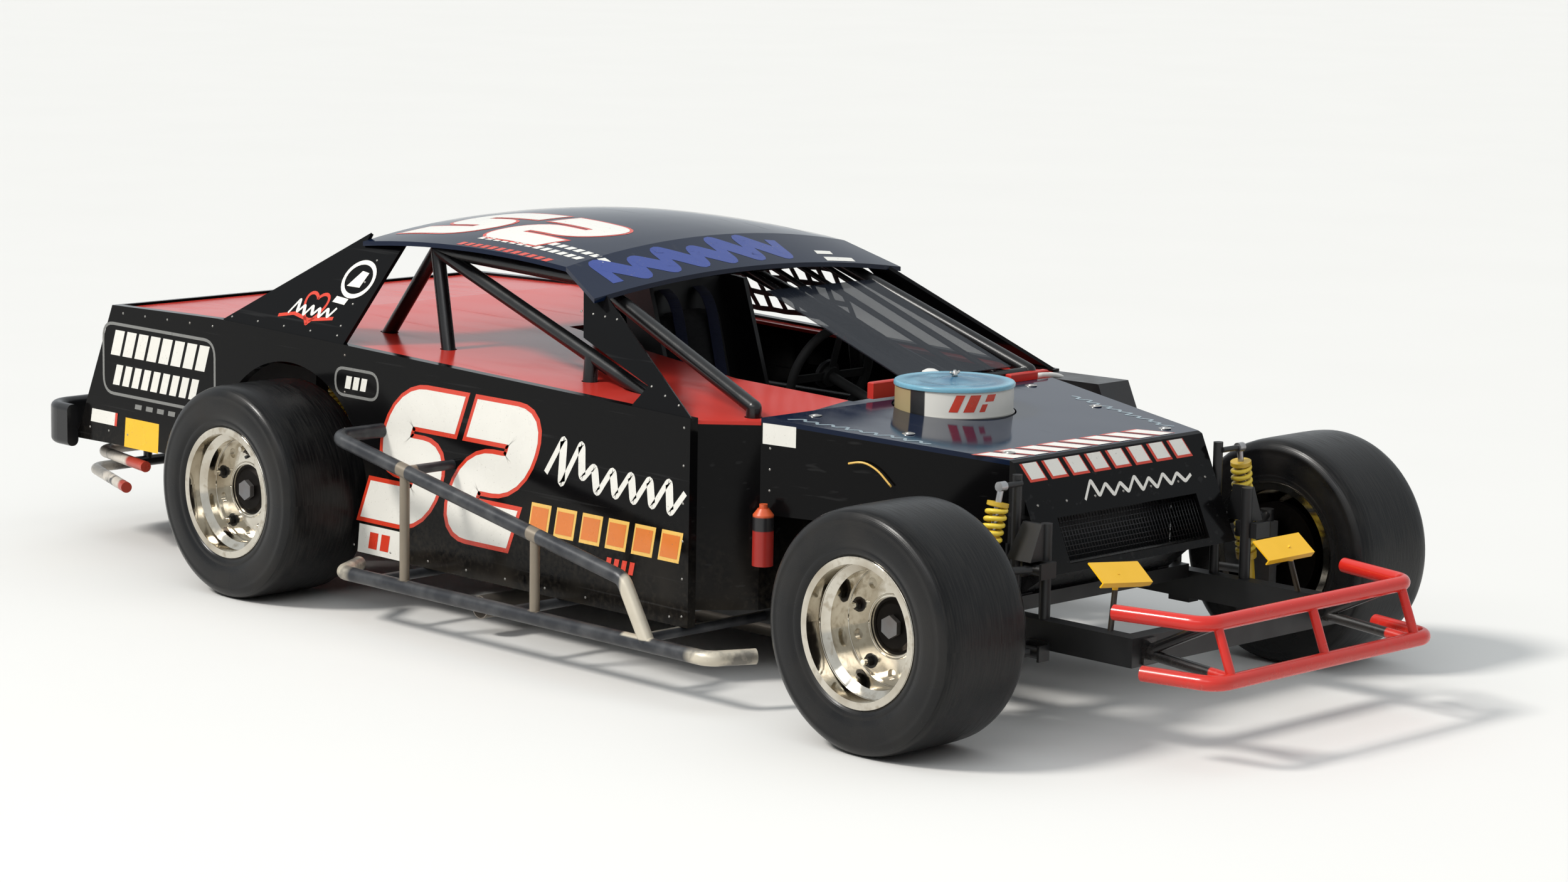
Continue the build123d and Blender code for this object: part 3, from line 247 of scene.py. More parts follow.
class Look(Nodes):
    """One procedural material: a Principled shader and short ways to add patterns to it."""

    def __init__(self, name, color, roughness, metallic=0.0):
        self.mat = bpy.data.materials.new(name)
        super().__init__(self.mat)
        self.shader = self.tree.nodes["Principled BSDF"]
        self.coords = self.add("ShaderNodeTexCoord").outputs["Object"]
        self.split = None
        self.set("Base Color", color)
        self.set("Roughness", roughness)
        self.set("Metallic", metallic)

    def set(self, socket, value):
        """Give a shader input a plain value, or link it to an output."""
        self.feed(self.shader.inputs[socket], value)

    def finish(self, color, roughness, normal):
        """The material with its three patterns linked."""
        self.set("Base Color", color)
        self.set("Roughness", roughness)
        self.set("Normal", normal)
        return self.mat

    def axis(self, letter):
        """One coordinate of the point, in the piece's own frame."""
        if self.split is None:
            self.split = self.add("ShaderNodeSeparateXYZ", {0: self.coords})
        return self.split.outputs[letter]

    def span(self):
        """Distance to either side of the car's middle."""
        return self.calc("ABSOLUTE", self.axis("X"))

    def scaled(self, stretch):
        """The point with each axis stretched."""
        return self.add("ShaderNodeMapping", {"Vector": self.coords, "Scale": stretch}).outputs[0]

    def noise(self, scale, detail=3.0, stretch=None, vector=None):
        """Soft noise between 0 and 1."""
        place = vector if vector is not None else self.scaled(stretch) if stretch else self.coords
        inputs = {"Vector": place, "Scale": scale, "Detail": detail}
        return self.add("ShaderNodeTexNoise", inputs).outputs[0]

    def ease(self, value, low, high, start=0.0, end=1.0):
        """The value's way from low to high, as start to end, held at both ends."""
        inputs = {0: value, 1: low, 2: high, 3: start, 4: end}
        return self.add("ShaderNodeMapRange", inputs, clamp=True).outputs[0]

    def above(self, value, limit, soft=0.002):
        """0 below a limit and 1 above it."""
        return self.ease(value, limit - soft, limit + soft)

    def below(self, value, limit, soft=0.002):
        """1 below a limit and 0 above it."""
        return self.ease(value, limit - soft, limit + soft, 1.0, 0.0)

    def within(self, value, low, high, soft=0.002):
        """1 between two limits and 0 outside them."""
        return self.times(self.above(value, low, soft), self.below(value, high, soft))

    def mix(self, share, a, b):
        """Colour a where share is 0, and b where it is 1."""
        return self.add("ShaderNodeMix", {0: share, 6: a, 7: b}, data_type="RGBA").outputs[2]

    def bump(self, height, strength, distance, below=None):
        """Surface relief from a height, on top of another relief."""
        inputs = {"Height": height, "Strength": strength, "Distance": distance}
        if below is not None:
            inputs["Normal"] = below
        return self.add("ShaderNodeBump", inputs).outputs[0]

    def less(self, letter, value):
        """A coordinate less a value."""
        return self.calc("SUBTRACT", self.axis(letter), value)

    def reach(self, a, b):
        """Length of two sides at a right angle."""
        return self.calc("SQRT", self.plus(self.times(a, a), self.times(b, b)))


def gloss_paint(name, color, roughness=0.10, top=0.50, amount=0.30, wave=0.12, shine=0.5, region=None):
    """Glossy paint on sheet metal: slight waves in the sheet, fine scratches and road dust.

    region gives the colour by place, from the look itself.
    """
    look = Look(name, color, roughness)
    look.set("Specular IOR Level", shine)
    paint = region(look) if region else color
    low = look.ease(look.axis("Z"), 0.10, top, 1.0, 0.0)
    cloud = look.ease(look.noise(5.0, 5.0), 0.40, 0.75)
    fine = look.ease(look.noise(60.0, 4.0), 0.35, 0.80)
    dust = look.times(look.times(low, amount), look.most(cloud, fine))
    scratch = look.ease(look.noise(30.0, 2.0, stretch=(1.0, 0.05, 1.6)), 0.66, 0.72, 0.0, 0.10)
    smear = look.ease(look.noise(9.0, 6.0, stretch=(1, 0.3, 1)), 0.45, 0.80, 0.0, 0.10)
    rough = look.plus(look.plus(smear, roughness), look.times(dust, 0.7))
    sheet = look.bump(look.noise(2.3, 1.0), wave, 0.012)
    return look.finish(look.mix(scratch, look.mix(dust, paint, DUST), (0.10, 0.10, 0.10)),
                       look.plus(rough, scratch), look.bump(look.noise(420.0, 1.0), 0.04, 0.0006, sheet))


def deck_region(look):
    """Red deck, navy in front of the line where the hood's colour ends."""
    line = look.plus(look.axis("Y"), look.times(look.span(), 0.295))
    return look.mix(look.below(line, -0.676), RED, NAVY)


def front_bumper_region(look):
    """Red rails and posts, with the black struts that run back to the frame."""
    strut = look.times(look.within(look.span(), 0.358, 0.412), look.above(look.axis("Y"), -2.275))
    return look.mix(strut, BUMPER_RED, SATIN)


def make_tyre_tread(end):
    """Worn slick tread: fine circumferential scuffing and picked-up grit."""
    look = Look(f"tyre_tread_{end}", (0.006, 0.006, 0.007), 0.42)
    look.set("Specular IOR Level", 0.20)
    angle = look.calc("ARCTAN2", look.less("Z", AXLE_Z), look.less("Y", AXLE_Y[end]))
    lay = {0: look.times(look.axis("X"), 60.0), 1: look.times(angle, 1.2)}
    streak = look.noise(3.0, 5.0, vector=look.add("ShaderNodeCombineXYZ", lay).outputs[0])
    worn = look.ease(streak, 0.42, 0.70)
    rows = look.bump(streak, 0.35, 0.0012)
    return look.finish(look.mix(worn, (0.005, 0.005, 0.0055), (0.018, 0.017, 0.016)),
                       look.ease(worn, 0.0, 1.0, 0.28, 0.48),
                       look.bump(look.noise(260.0, 3.0), 0.30, 0.0008, rows))


def make_tyre_side(end):
    """Smooth sidewall rubber with moulding rings and a haze of dust."""
    look = Look(f"tyre_side_{end}", (0.010, 0.010, 0.011), 0.30)
    look.set("Specular IOR Level", 0.30)
    radius = look.reach(look.less("Y", AXLE_Y[end]), look.less("Z", AXLE_Z))
    haze = look.ease(look.noise(7.0, 6.0), 0.42, 0.80, 0.0, 0.45)
    rings = look.bump(look.calc("SINE", look.times(radius, 1800.0)), 0.12, 0.0005)
    return look.finish(look.mix(haze, (0.005, 0.005, 0.0055), (0.026, 0.022, 0.018)),
                       look.ease(haze, 0.0, 0.45, 0.24, 0.50),
                       look.bump(look.noise(180.0, 3.0), 0.15, 0.0006, rings))


def make_wheel(end):
    """Chromed rim and disc with water spots and dirt, and dark hub, drum and brake disc behind them."""
    look = Look(f"wheel_chrome_{end}", (0.66, 0.64, 0.60), 0.07, 1.0)
    radius = look.reach(look.less("Y", AXLE_Y[end]), look.less("Z", AXLE_Z))
    behind = look.below(look.span(), DISC_X[end] - 0.0085, 0.0008)
    dark = look.most(look.times(behind, look.below(radius, 0.150)), look.below(radius, 0.0785))
    spots = look.ease(look.noise(42.0, 5.0), 0.50, 0.72)
    film = look.ease(look.noise(6.5, 4.0), 0.42, 0.70)
    grime = look.most(look.times(spots, 0.55), look.times(film, 0.65))
    plated = look.mix(grime, (0.66, 0.62, 0.54), (0.26, 0.20, 0.125))
    gloss = look.ease(look.plus(spots, film), 0.0, 2.0, 0.05, 0.26)
    lines = look.calc("SINE", look.times(radius, 5200.0))
    dents = look.bump(look.noise(14.0, 2.0), 0.16, 0.002)
    return look.finish(look.mix(dark, plated, (0.014, 0.012, 0.011)),
                       look.plus(gloss, look.times(dark, 0.35)),
                       look.bump(lines, 0.04, 0.0003, dents))


def make_steel(name, color, roughness, rust=0.25):
    """Worn tube or plate steel with patches of darker oxide."""
    look = Look(name, color, roughness, 0.85)
    patch = look.ease(look.noise(14.0, 6.0), 0.50, 0.72, 0.0, rust)
    return look.finish(look.mix(patch, color, RUST), look.ease(patch, 0.0, 1.0, roughness, 0.75),
                       look.bump(look.noise(90.0, 4.0), 0.12, 0.0008))


def make_plain(name, color, roughness, metallic=0.0, grain=160.0, depth=0.10, vary=0.25, region=None):
    """Painted or moulded surface with a light grain and slightly uneven colour."""
    look = Look(name, color, roughness, metallic)
    cloud = look.ease(look.noise(11.0, 5.0), 0.35, 0.75, 0.0, vary)
    paint = region(look) if region else color
    rough = look.ease(cloud, 0.0, max(vary, 0.01), roughness, min(roughness + 0.12, 1.0))
    return look.finish(look.mix(cloud, paint, tuple(0.45 * c for c in color)), rough,
                       look.bump(look.noise(grain, 3.0), depth, 0.0008))


def guard_region(look):
    """Dark upper rail, light posts, a cream front leg and cream ends on the lower rail."""
    y = look.axis("Y")
    z = look.axis("Z")
    wear = look.ease(look.noise(16.0, 5.0), 0.40, 0.65)
    dark = look.mix(wear, (0.020, 0.022, 0.027), (0.060, 0.062, 0.066))
    posts = look.most(look.within(y, 0.285, 0.325), look.within(y, -0.295, -0.255))
    post = look.times(look.times(posts, look.above(look.span(), 0.930)), look.above(z, 0.17))
    leg = look.times(look.within(y, -0.770, -0.655, 0.006), look.above(z, 0.165))
    ends = look.most(look.below(y, -0.93, 0.02), look.above(y, 0.56, 0.02))
    low = look.times(ends, look.below(z, 0.175))
    pale = look.most(leg, look.times(low, look.ease(wear, 0.2, 0.8, 1.0, 0.3)))
    return look.mix(pale, look.mix(post, dark, (0.24, 0.20, 0.15)), CREAM)


def rear_bumper_region(look):
    """Black bar and red tube ends, with cream patches on the corners of the light rails below it: partly worn
    cream paint and partly a painted highlight where the sun catches the bends.
    """
    rails = look.below(look.axis("Z"), 0.304)
    # Cream corners of the lower rails: partly worn paint, partly a painted sun highlight on the tube bends
    corner = look.times(look.above(look.span(), 0.56, 0.05), rails)
    chips_and_highlight = look.ease(look.noise(13.0, 5.0), 0.36, 0.46)
    cream = look.mix(look.times(corner, chips_and_highlight), SATIN, (0.66, 0.60, 0.52))
    return look.mix(look.times(look.below(look.axis("Y"), 1.985, 0.01), rails), cream, (0.50, 0.060, 0.035))


def tank_region(look):
    """Red can with a black band and an orange dome, beside the black box tank."""
    z = look.axis("Z")
    can = look.mix(look.above(z, 0.455), (0.34, 0.018, 0.012), DARK_BAND)
    domed = look.mix(look.above(z, 0.495), can, (0.62, 0.10, 0.03))
    return look.mix(look.above(look.axis("X"), 0.0), domed, SATIN)


def cleaner_region(look):
    """Tan, black and white sections around the band, on a dark base pan."""
    ahead = look.calc("SUBTRACT", CLEANER[1], look.axis("Y"))
    angle = look.calc("ARCTAN2", ahead, look.times(look.axis("X"), -1.0))
    tan = look.mix(look.above(angle, -0.075, 0.01), (0.42, 0.33, 0.17), DARK_BAND)
    band = look.mix(look.above(angle, 0.230, 0.01), tan, (0.84, 0.82, 0.76))
    return look.mix(look.below(look.axis("Z"), 0.7485), band, (0.05, 0.05, 0.055))


def lid_region(look):
    """Pale blue rim and a deeper blue face, with rubbed patches."""
    face = look.below(look.reach(look.axis("X"), look.less("Y", CLEANER[1])), 0.150, 0.012)
    rubbed = look.ease(look.noise(9.0, 4.0), 0.40, 0.68, 1.0, 0.25)
    return look.mix(look.times(face, rubbed), PALE_BLUE, (0.030, 0.120, 0.210))


def pipe_region(look):
    """Bare pipe with straw and blue heat bands near the engine."""
    band = look.ease(look.noise(7.0, 3.0), 0.40, 0.62)
    blued = look.mix(band, (0.26, 0.20, 0.12), (0.13, 0.14, 0.19))
    return look.mix(look.ease(look.axis("Z"), 0.25, 0.50), PIPE, blued)


def plate_region(look):
    """Yellow plates on black posts; the left plate hangs lower than the right one."""
    edge = look.ease(look.above(look.axis("X"), 0.0), 0.0, 1.0, 0.419, 0.402)
    return look.mix(look.calc("LESS_THAN", look.axis("Z"), edge), YELLOW, SATIN)


def make_clear(name):
    """Tinted clear sheet with faint haze; its near-black colour and high alpha are partly painted shade,
    darkening the cabin seen through it.
    """
    # Near-black tint at alpha 0.62 to 0.72: a tinted sheet, made darker as painted shade of the cabin behind
    # it
    look = Look(name, (0.012, 0.015, 0.022), 0.12)
    look.set("Alpha", look.ease(look.noise(2.0, 2.0), 0.35, 0.70, 0.62, 0.72))
    look.set("Roughness", look.ease(look.noise(9.0, 6.0), 0.45, 0.80, 0.10, 0.18))
    look.set("Specular IOR Level", 0.12)
    look.set("Normal", look.bump(look.noise(1.6, 2.0), 0.06, 0.006))
    return look.mat


def make_webbing(name, color):
    """Woven strap: fine crossing ribs."""
    look = Look(name, color, 0.75)
    ribs, cross = [look.calc("SINE", look.times(look.axis(letter), 2600.0)) for letter in "YZ"]
    weave = look.times(ribs, cross)
    look.set("Base Color", look.mix(look.ease(weave, -1.0, 1.0), tuple(0.6 * c for c in color), color))
    look.set("Sheen Weight", 0.2)
    look.set("Normal", look.bump(weave, 0.4, 0.0006))
    return look.mat


def make_vinyl(name, color):
    """Sticker film: slight fading, dust specks and a soft gloss."""
    look = Look(f"vinyl_{name}", color, 0.28)
    fade = look.ease(look.noise(8.0, 5.0), 0.40, 0.75, 0.0, 0.16)
    specks = look.ease(look.noise(150.0, 2.0), 0.68, 0.74, 0.0, 0.5)
    tired = tuple(0.72 * c + 0.02 for c in color)
    return look.finish(look.mix(specks, look.mix(fade, color, tired), DUST),
                       look.ease(fade, 0.0, 0.2, 0.22, 0.40),
                       look.bump(look.noise(30.0, 2.0), 0.05, 0.001))


def paint_node(name, material):
    """Give a CAD node one material."""
    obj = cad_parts[name]
    obj.data.materials.clear()
    obj.data.materials.append(material)


def new_piece(name, verts, faces, material, body="root", smooth=False):
    """Mesh piece that rides on a body."""
    mesh = bpy.data.meshes.new(name)
    mesh.from_pydata([tuple(v) for v in verts], [], faces)
    mesh.validate()
    mesh.update()
    obj = bpy.data.objects.new(name, mesh)
    bpy.context.scene.collection.objects.link(obj)
    mesh.materials.append(material)
    for polygon in mesh.polygons:
        polygon.use_smooth = smooth
    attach(obj, body)
    return obj


def tidy_normals(obj):
    """Faces of a closed piece turned outward."""
    mesh = bmesh.new()
    mesh.from_mesh(obj.data)
    bmesh.ops.recalc_face_normals(mesh, faces=mesh.faces)
    mesh.to_mesh(obj.data)
    mesh.free()


def heading(points, i):
    """Way that a line runs at one of its points."""
    return (points[min(i + 1, len(points) - 1)] - points[max(i - 1, 0)]).normalized()


def circle(side, other, sides):
    """Ways out from a middle, evenly around."""
    angles = [2 * math.pi * i / sides for i in range(sides)]
    return [side * math.cos(angle) + other * math.sin(angle) for angle in angles]


class Builder:
    """Mesh that grows by grids and rings of points."""

    def __init__(self):
        self.verts = []
        self.faces = []

    def grid(self, rows):
        """Quads between rows of points."""
        base = len(self.verts)
        width = len(rows[0])
        for row in rows:
            self.verts.extend(tuple(point) for point in row)
        for i in range(len(rows) - 1):
            for k in range(width - 1):
                a = base + i * width + k
                self.faces.append((a, a + 1, a + width + 1, a + width))

    def skin(self, rings, capped=True):
        """Quads between closed rings of points, with flat ends."""
        base = len(self.verts)
        sides = len(rings[0])
        last = base + (len(rings) - 1) * sides
        for ring in rings:
            self.verts.extend(tuple(point) for point in ring)
        for low in range(base, last, sides):
            for i in range(sides):
                j = (i + 1) % sides
                self.faces.append((low + i, low + j, low + sides + j, low + sides + i))
        if capped:
            self.faces.append(tuple(reversed(range(base, base + sides))))
            self.faces.append(tuple(range(last, last + sides)))

    def turned(self, start, way, profile, sides=16, capped=True):
        """Rings around a line from a start, at (distance, radius) points."""
        start = Vector(start)
        axis = Vector(way).normalized()
        side = axis.orthogonal().normalized()
        other = axis.cross(side)
        self.skin([[start + axis * distance + out * radius for out in circle(side, other, sides)]
                   for distance, radius in profile], capped)

    def tube(self, points, radius, sides=10):
        """Round tube along points, with closed ends."""
        points = [Vector(p) for p in points]
        normal = (points[1] - points[0]).orthogonal().normalized()
        rings = []
        for i, point in enumerate(points):
            along = heading(points, i)
            normal = (normal - along * normal.dot(along)).normalized()
            rings.append([point + out * radius for out in circle(normal, along.cross(normal), sides)])
        self.skin(rings)

    def dome(self, place, normal, radius, height):
        """Low round head on a surface."""
        profile = [(-0.0005, radius), (height * 0.45, radius * 0.86), (height, radius * 0.45)]
        self.turned(place, normal, profile, 8)

    def nut(self, place, normal, radius, height):
        """Hexagon nut with a chamfered face, on a washer."""
        self.turned(place, normal, [(0.0, radius * 1.3), (0.0018, radius * 1.3)], 20)
        self.turned(place, normal, [(0.0018, radius), (height * 0.82, radius), (height, radius * 0.84)], 6)

    def box(self, centre, half):
        """Box with small chamfers along its upper edges."""
        cut = min(half) * 0.25
        rings = []
        for z, inset in ((-half[2], 0.0), (half[2] - cut, 0.0), (half[2], cut)):
            wide, deep = half[0] - inset, half[1] - inset
            rings.append([Vector(centre) + Vector((sx * wide, sy * deep, z)) for sx, sy in CORNERS])
        self.skin(rings)

    def piece(self, name, material, body="root", slot=None, smooth=False, angle=None):
        """The mesh as a piece; with an angle it is smooth, but for edges that turn by more degrees."""
        obj = new_piece(name, self.verts, self.faces, material, body, smooth)
        if angle:
            shade_by_angle(obj, angle)
        return obj


def shade_by_angle(obj, degrees):
    """Smooth shading that keeps the sharp edges."""
    mesh = bmesh.new()
    mesh.from_mesh(obj.data)
    limit = math.radians(degrees)
    for face in mesh.faces:
        face.smooth = True
    for edge in mesh.edges:
        edge.smooth = len(edge.link_faces) == 2 and edge.calc_face_angle(0.0) < limit
    mesh.to_mesh(obj.data)
    mesh.free()


def sill_z(y):
    """Height of the door tops."""
    share = (y - SILL_FRONT[0]) / (SILL_BACK[0] - SILL_FRONT[0])
    return SILL_FRONT[1] + share * (SILL_BACK[1] - SILL_FRONT[1])


def on_side(sign):
    """Places on a door or quarter by (y, z)."""
    return lambda a, b, lift: (sign * (DOOR_X + lift), a, b)


def on_lean(sign):
    """Places on a leaning greenhouse panel by (y, z)."""
    out = 1.0 / math.hypot(1.0, LEAN)

    def place(a, b, lift):
        x = LEAN_FOOT_X - (b - sill_z(a)) * LEAN
        return (sign * (x + lift * out), a, b + lift * LEAN * out)
    return place


def on_hood(a, b, lift):
    """Places on the hood by (x, y)."""
    share = (b - COWL[0]) / (FOLD[0] - COWL[0])
    return (a, b, COWL[1] + share * (FOLD[1] - COWL[1]) + lift)


def on_nose(a, b, lift):
    """Places on the nose by (x, z)."""
    share = (b - NOSE_TOP[1]) / (NOSE_LOW[1] - NOSE_TOP[1])
    return (a, NOSE_TOP[0] + share * (NOSE_LOW[0] - NOSE_TOP[0]) - lift, b)


def on_bay(sign):
    """Places on an engine bay side by (distance forward from the cowl, z)."""
    run = Vector((COWL_X - FOLD_X, FOLD[0] - COWL[0])).normalized()

    def place(a, b, lift):
        x = COWL_X - run.x * a - run.y * lift
        return (sign * x, COWL[0] + run.y * a - run.x * lift, b)
    return place


def on_tail(a, b, lift):
    """Places on the slanted tail panel by (x, z)."""
    share = (b - TAIL_TOP[1]) / (TAIL_LOW[1] - TAIL_TOP[1])
    return (a, TAIL_TOP[0] + share * (TAIL_LOW[0] - TAIL_TOP[0]) + lift, b)


def on_node(name):
    """Places on top of a CAD node by (x, y), found by a ray from above."""
    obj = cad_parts[name]
    mesh = bmesh.new()
    mesh.from_mesh(obj.data)
    mesh.transform(obj.matrix_world)
    tree = BVHTree.FromBMesh(mesh)
    mesh.free()

    def place(a, b, lift):
        hit, normal = tree.ray_cast(Vector((a, b, 2.0)), Vector((0, 0, -1)))[:2]
        if hit is None:
            raise ValueError(f"no surface of {name} at {a:.3f}, {b:.3f}")
        return tuple(hit + normal * lift)
    return place


def rounded(points, radius, steps=6):
    """Line with its inner corners rounded."""
    points = [Vector(p) for p in points]
    line = [points[0]]
    for before, corner, after in zip(points, points[1:], points[2:]):
        back = before - corner
        ahead = after - corner
        reach = min(radius, back.length * 0.49, ahead.length * 0.49)
        start = corner + back.normalized() * reach
        end = corner + ahead.normalized() * reach
        for i in range(steps + 1):
            t = i / steps
            line.append(start * (1 - t) ** 2 + corner * 2 * t * (1 - t) + end * t ** 2)
    return line + [points[-1]]


def dense(points, step=STEP):
    """Line with no run longer than a step."""
    line = [Vector(points[0])]
    for start, end in zip(points, points[1:]):
        start = Vector(start)
        end = Vector(end)
        count = max(1, math.ceil((end - start).length / step))
        line += [start + (end - start) * i / count for i in range(1, count + 1)]
    return line


def stroke(points, width, across=3):
    """Rows of a ribbon along a line in a plane; width is a number or one for each point."""
    rows = []
    for i, point in enumerate(points):
        along = heading(points, i)
        side = Vector((-along.y, along.x))
        wide = width[i] if isinstance(width, list) else width
        rows.append([point + side * wide * (k / across - 0.5) for k in range(across + 1)])
    return rows


def loop(low, high, radius):
    """Closed line around a rectangle with round corners."""
    middle = (low[0] + high[0]) / 2
    corners = [(middle, low[1]), (high[0], low[1]), high, (low[0], high[1]), low, (middle, low[1])]
    return dense(rounded(corners, radius))


def panel(corners, step=STEP):
    """Rows of a four-cornered patch."""
    a, b, c, d = [Vector(corner) for corner in corners]
    columns = max(1, math.ceil(max((b - a).length, (c - d).length) / step))
    count = max(1, math.ceil(max((d - a).length, (c - b).length) / step))
    rows = []
    for i in range(count + 1):
        left = a + (d - a) * i / count
        right = b + (c - b) * i / count
        rows.append([left + (right - left) * k / columns for k in range(columns + 1)])
    return rows


def brush(points, thick, thin, radius=0.02):
    """Rows of a brush line: wide on the way down, and narrow on the way up."""
    line = dense(rounded(points, radius), 0.012)
    last = len(line) - 1
    widths = []
    for i in range(len(line)):
        run = line[min(i + 2, last)] - line[max(i - 2, 0)]
        share = 0.5 - 0.5 * run.y / max(run.length, 0.001)
        widths.append(thin + (thick - thin) * share)
    return stroke(line, widths, 1)


def swings(start, step, heights, slant):
    """Corners of a slanting zigzag from (low, high) pairs; step is the way along for one swing."""
    points = []
    for i, (low, high) in enumerate(heights):
        along = start[0] + step * i
        points.append((along + slant * low, start[1] + low))
        points.append((along + step * 0.42 + slant * high, start[1] + high))
    return points


def slant_bars(a_range, b_range, count, fill=0.7, slant=0.25, flip=False):
    """Panels of a row of leaning blocks between two limits on each axis; flip swaps the axes."""
    start, end = a_range
    low, high = b_range
    pitch = (end - start) / count
    lean = (high - low) * slant * (1 if end > start else -1)
    patches = []
    for i in range(count):
        left = start + pitch * i
        right = left + pitch * fill
        corners = [(left, low), (right, low), (right + lean, high), (left + lean, high)]
        patches.append(panel([corner[::-1] for corner in corners] if flip else corners))
    return patches


def mark(name, shapes, place, color, level=1):
    """Flat shapes laid on a surface, each as rows of points in the surface's plane."""
    builder = Builder()
    for rows in shapes:
        builder.grid([[place(point[0], point[1], SKIN * level) for point in row] for row in rows])
    builder.piece(name, vinyl[color])


# Digits as a line on a frame that is one wide and one high
DIGITS = {
    "5": [(1, 1), (0, 1), (0, 0.5), (1, 0.5), (1, 0), (0, 0)],
    "2": [(0, 1), (1, 1), (1, 0.5), (0, 0.5), (0, 0), (1, 0)],
}
NUMBER = "52"


def digit_line(code, width, height, bold, past):
    """Middle line of a digit's stroke, with its ends drawn out."""
    line = [Vector((bold / 2 + u * (width - bold), bold / 2 + v * (height - bold))) for u, v in DIGITS[code]]
    line[0] += (line[0] - line[1]).normalized() * (bold / 2 + past)
    line[-1] += (line[-1] - line[-2]).normalized() * (bold / 2 + past)
    return dense(rounded(line, bold * 0.62))


def number(name, place, corner, along, up, size, bold, edge):
    """Block number with a red border; along and up are the plane's steps for one metre of the digit."""
    width, height, pitch = size
    shapes = {"fill": [], "edge": []}
    for index, code in enumerate(NUMBER):
        for part, past in (("fill", 0.0), ("edge", edge)):
            rows = stroke(digit_line(code, width, height, bold, past), bold + 2 * past)
            shapes[part].append([[(corner[0] + along[0] * (p.x + index * pitch) + up[0] * p.y,
                                   corner[1] + along[1] * (p.x + index * pitch) + up[1] * p.y) for p in row]
                                 for row in rows])
    mark(f"{name}_edge", shapes["edge"], place, "red")
    mark(f"{name}_fill", shapes["fill"], place, "white", 2)


# Tyre section from the bead out to the middle of the tread: distance from the middle, radius
TYRE_SECTION = [
    (0.149, 0.188), (0.149, 0.204), (0.153, 0.208), (0.157, 0.214), (0.1605, 0.224), (0.1595, 0.226),
    (0.1595, 0.230), (0.163, 0.236), (0.1645, 0.252), (0.1648, 0.268), (0.1640, 0.284), (0.1622, 0.296),
    (0.1628, 0.298), (0.1612, 0.304), (0.1580, 0.312), (0.1525, 0.3200), (0.1450, 0.3255), (0.1330, 0.3295),
    (0.1080, 0.3315), (0.0700, 0.3320), (0.0, 0.3320),
]
TREAD_FROM = 15


def make_tyre(end, side, sign):
    """Slick tyre with rounded shoulders and moulded sidewall rings."""
    profile = TYRE_SECTION + [(-u, r) for u, r in reversed(TYRE_SECTION[:-1])]
    centre = (sign * TYRE_MIDDLE_X, AXLE_Y[end], AXLE_Z)
    builder = Builder()
    builder.turned(centre, (sign, 0, 0), profile, TYRE_STEPS, capped=False)
    body = f"{end}_wheel_{side}"
    obj = builder.piece(f"{end}_tyre_{side}_worn", tyre_side[end], body, "tyre_rubber", True)
    obj.data.materials.append(tyre_tread[end])
    last = len(profile) - 1
    for index, polygon in enumerate(obj.data.polygons):
        if TREAD_FROM <= index // TYRE_STEPS < last - TREAD_FROM:
            polygon.material_index = 1
    tidy_normals(obj)
    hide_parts(f"{end}_tyre_{side}")


def wheel_point(end, sign, depth, radius, degrees):
    """Place on a wheel: distance out from the car's middle, radius, and angle about the axle."""
    angle = math.radians(degrees)
    return (sign * depth, AXLE_Y[end] + radius * math.cos(angle), AXLE_Z + radius * math.sin(angle))


def make_wheel_trim(end, side, sign):
    """Lug nuts on their washers, weld bead, rolled lips and valve stem of one wheel."""
    body = f"{end}_wheel_{side}"
    face = DISC_X[end]
    first = 90 if sign < 0 else -90
    out = (sign, 0, 0)
    nuts = Builder()
    for k in range(STUD_COUNT):
        place = wheel_point(end, sign, face, STUD_RING_R, first + 360 / STUD_COUNT * k)
        nuts.nut(place, out, *LUG_NUT)
        nuts.turned(place, out, LUG_WASHER, 24)
    nuts.piece(f"{end}_lug_nuts_{side}", nut_steel, body, angle=SHARP)
    rings = Builder()
    for depth, radius, wire in ((face, 0.1632, 0.0028), (RIM_OUT_X - 0.0045, 0.2010, 0.0042),
                                (RIM_OUT_X - 0.052, 0.1835, 0.0022), (face + 0.0004, 0.0865, 0.0020)):
        rings.tube([wheel_point(end, sign, depth, radius, 5 * i) for i in range(73)], wire, 8)
    rings.piece(f"{end}_rim_beads_{side}", wheel_look[end], body, smooth=True)
    stem = Builder()
    start = Vector(wheel_point(end, sign, face + 0.040, 0.1605, first + 36))
    tip = Vector(wheel_point(end, sign, face + 0.078, 0.1500, first + 36))
    stem.turned(start, tip - start, VALVE_STEM, 12)
    stem.piece(f"{end}_valve_stem_{side}", rubber, body, smooth=True)


# Swings of the generic brush scripts, as (low, high) in metres
SCRIPT = [(0.03, 0.145), (0.0, 0.140), (0.03, 0.080), (-0.005, 0.080), (-0.005, 0.078), (-0.010, 0.075),
          (-0.012, 0.080), (-0.020, 0.050)]
NAME_SWINGS = [(0.0, 0.045), (0.006, 0.030), (0.0, 0.032), (0.004, 0.028), (0.0, 0.030), (0.004, 0.034)]
VISOR_SWINGS = [(0.0, 0.120), (0.0, 0.090), (0.0, 0.110), (0.0, 0.085), (0.0, 0.120), (0.0, 0.120),
                (0.0, 0.100)]
NOSE_SWINGS = [(0.0, 0.048), (0.004, 0.034), (0.0, 0.030), (0.002, 0.040), (0.0, 0.030), (0.0, 0.034),
               (0.002, 0.030), (0.004, 0.020)]
HOOD_SWINGS = [(0.0, 0.040), (0.008, 0.032), (0.0, 0.036), (0.006, 0.040), (0.0, 0.030), (0.004, 0.036),
               (0.0, 0.040), (0.008, 0.034), (0.0, 0.036), (0.006, 0.020)]


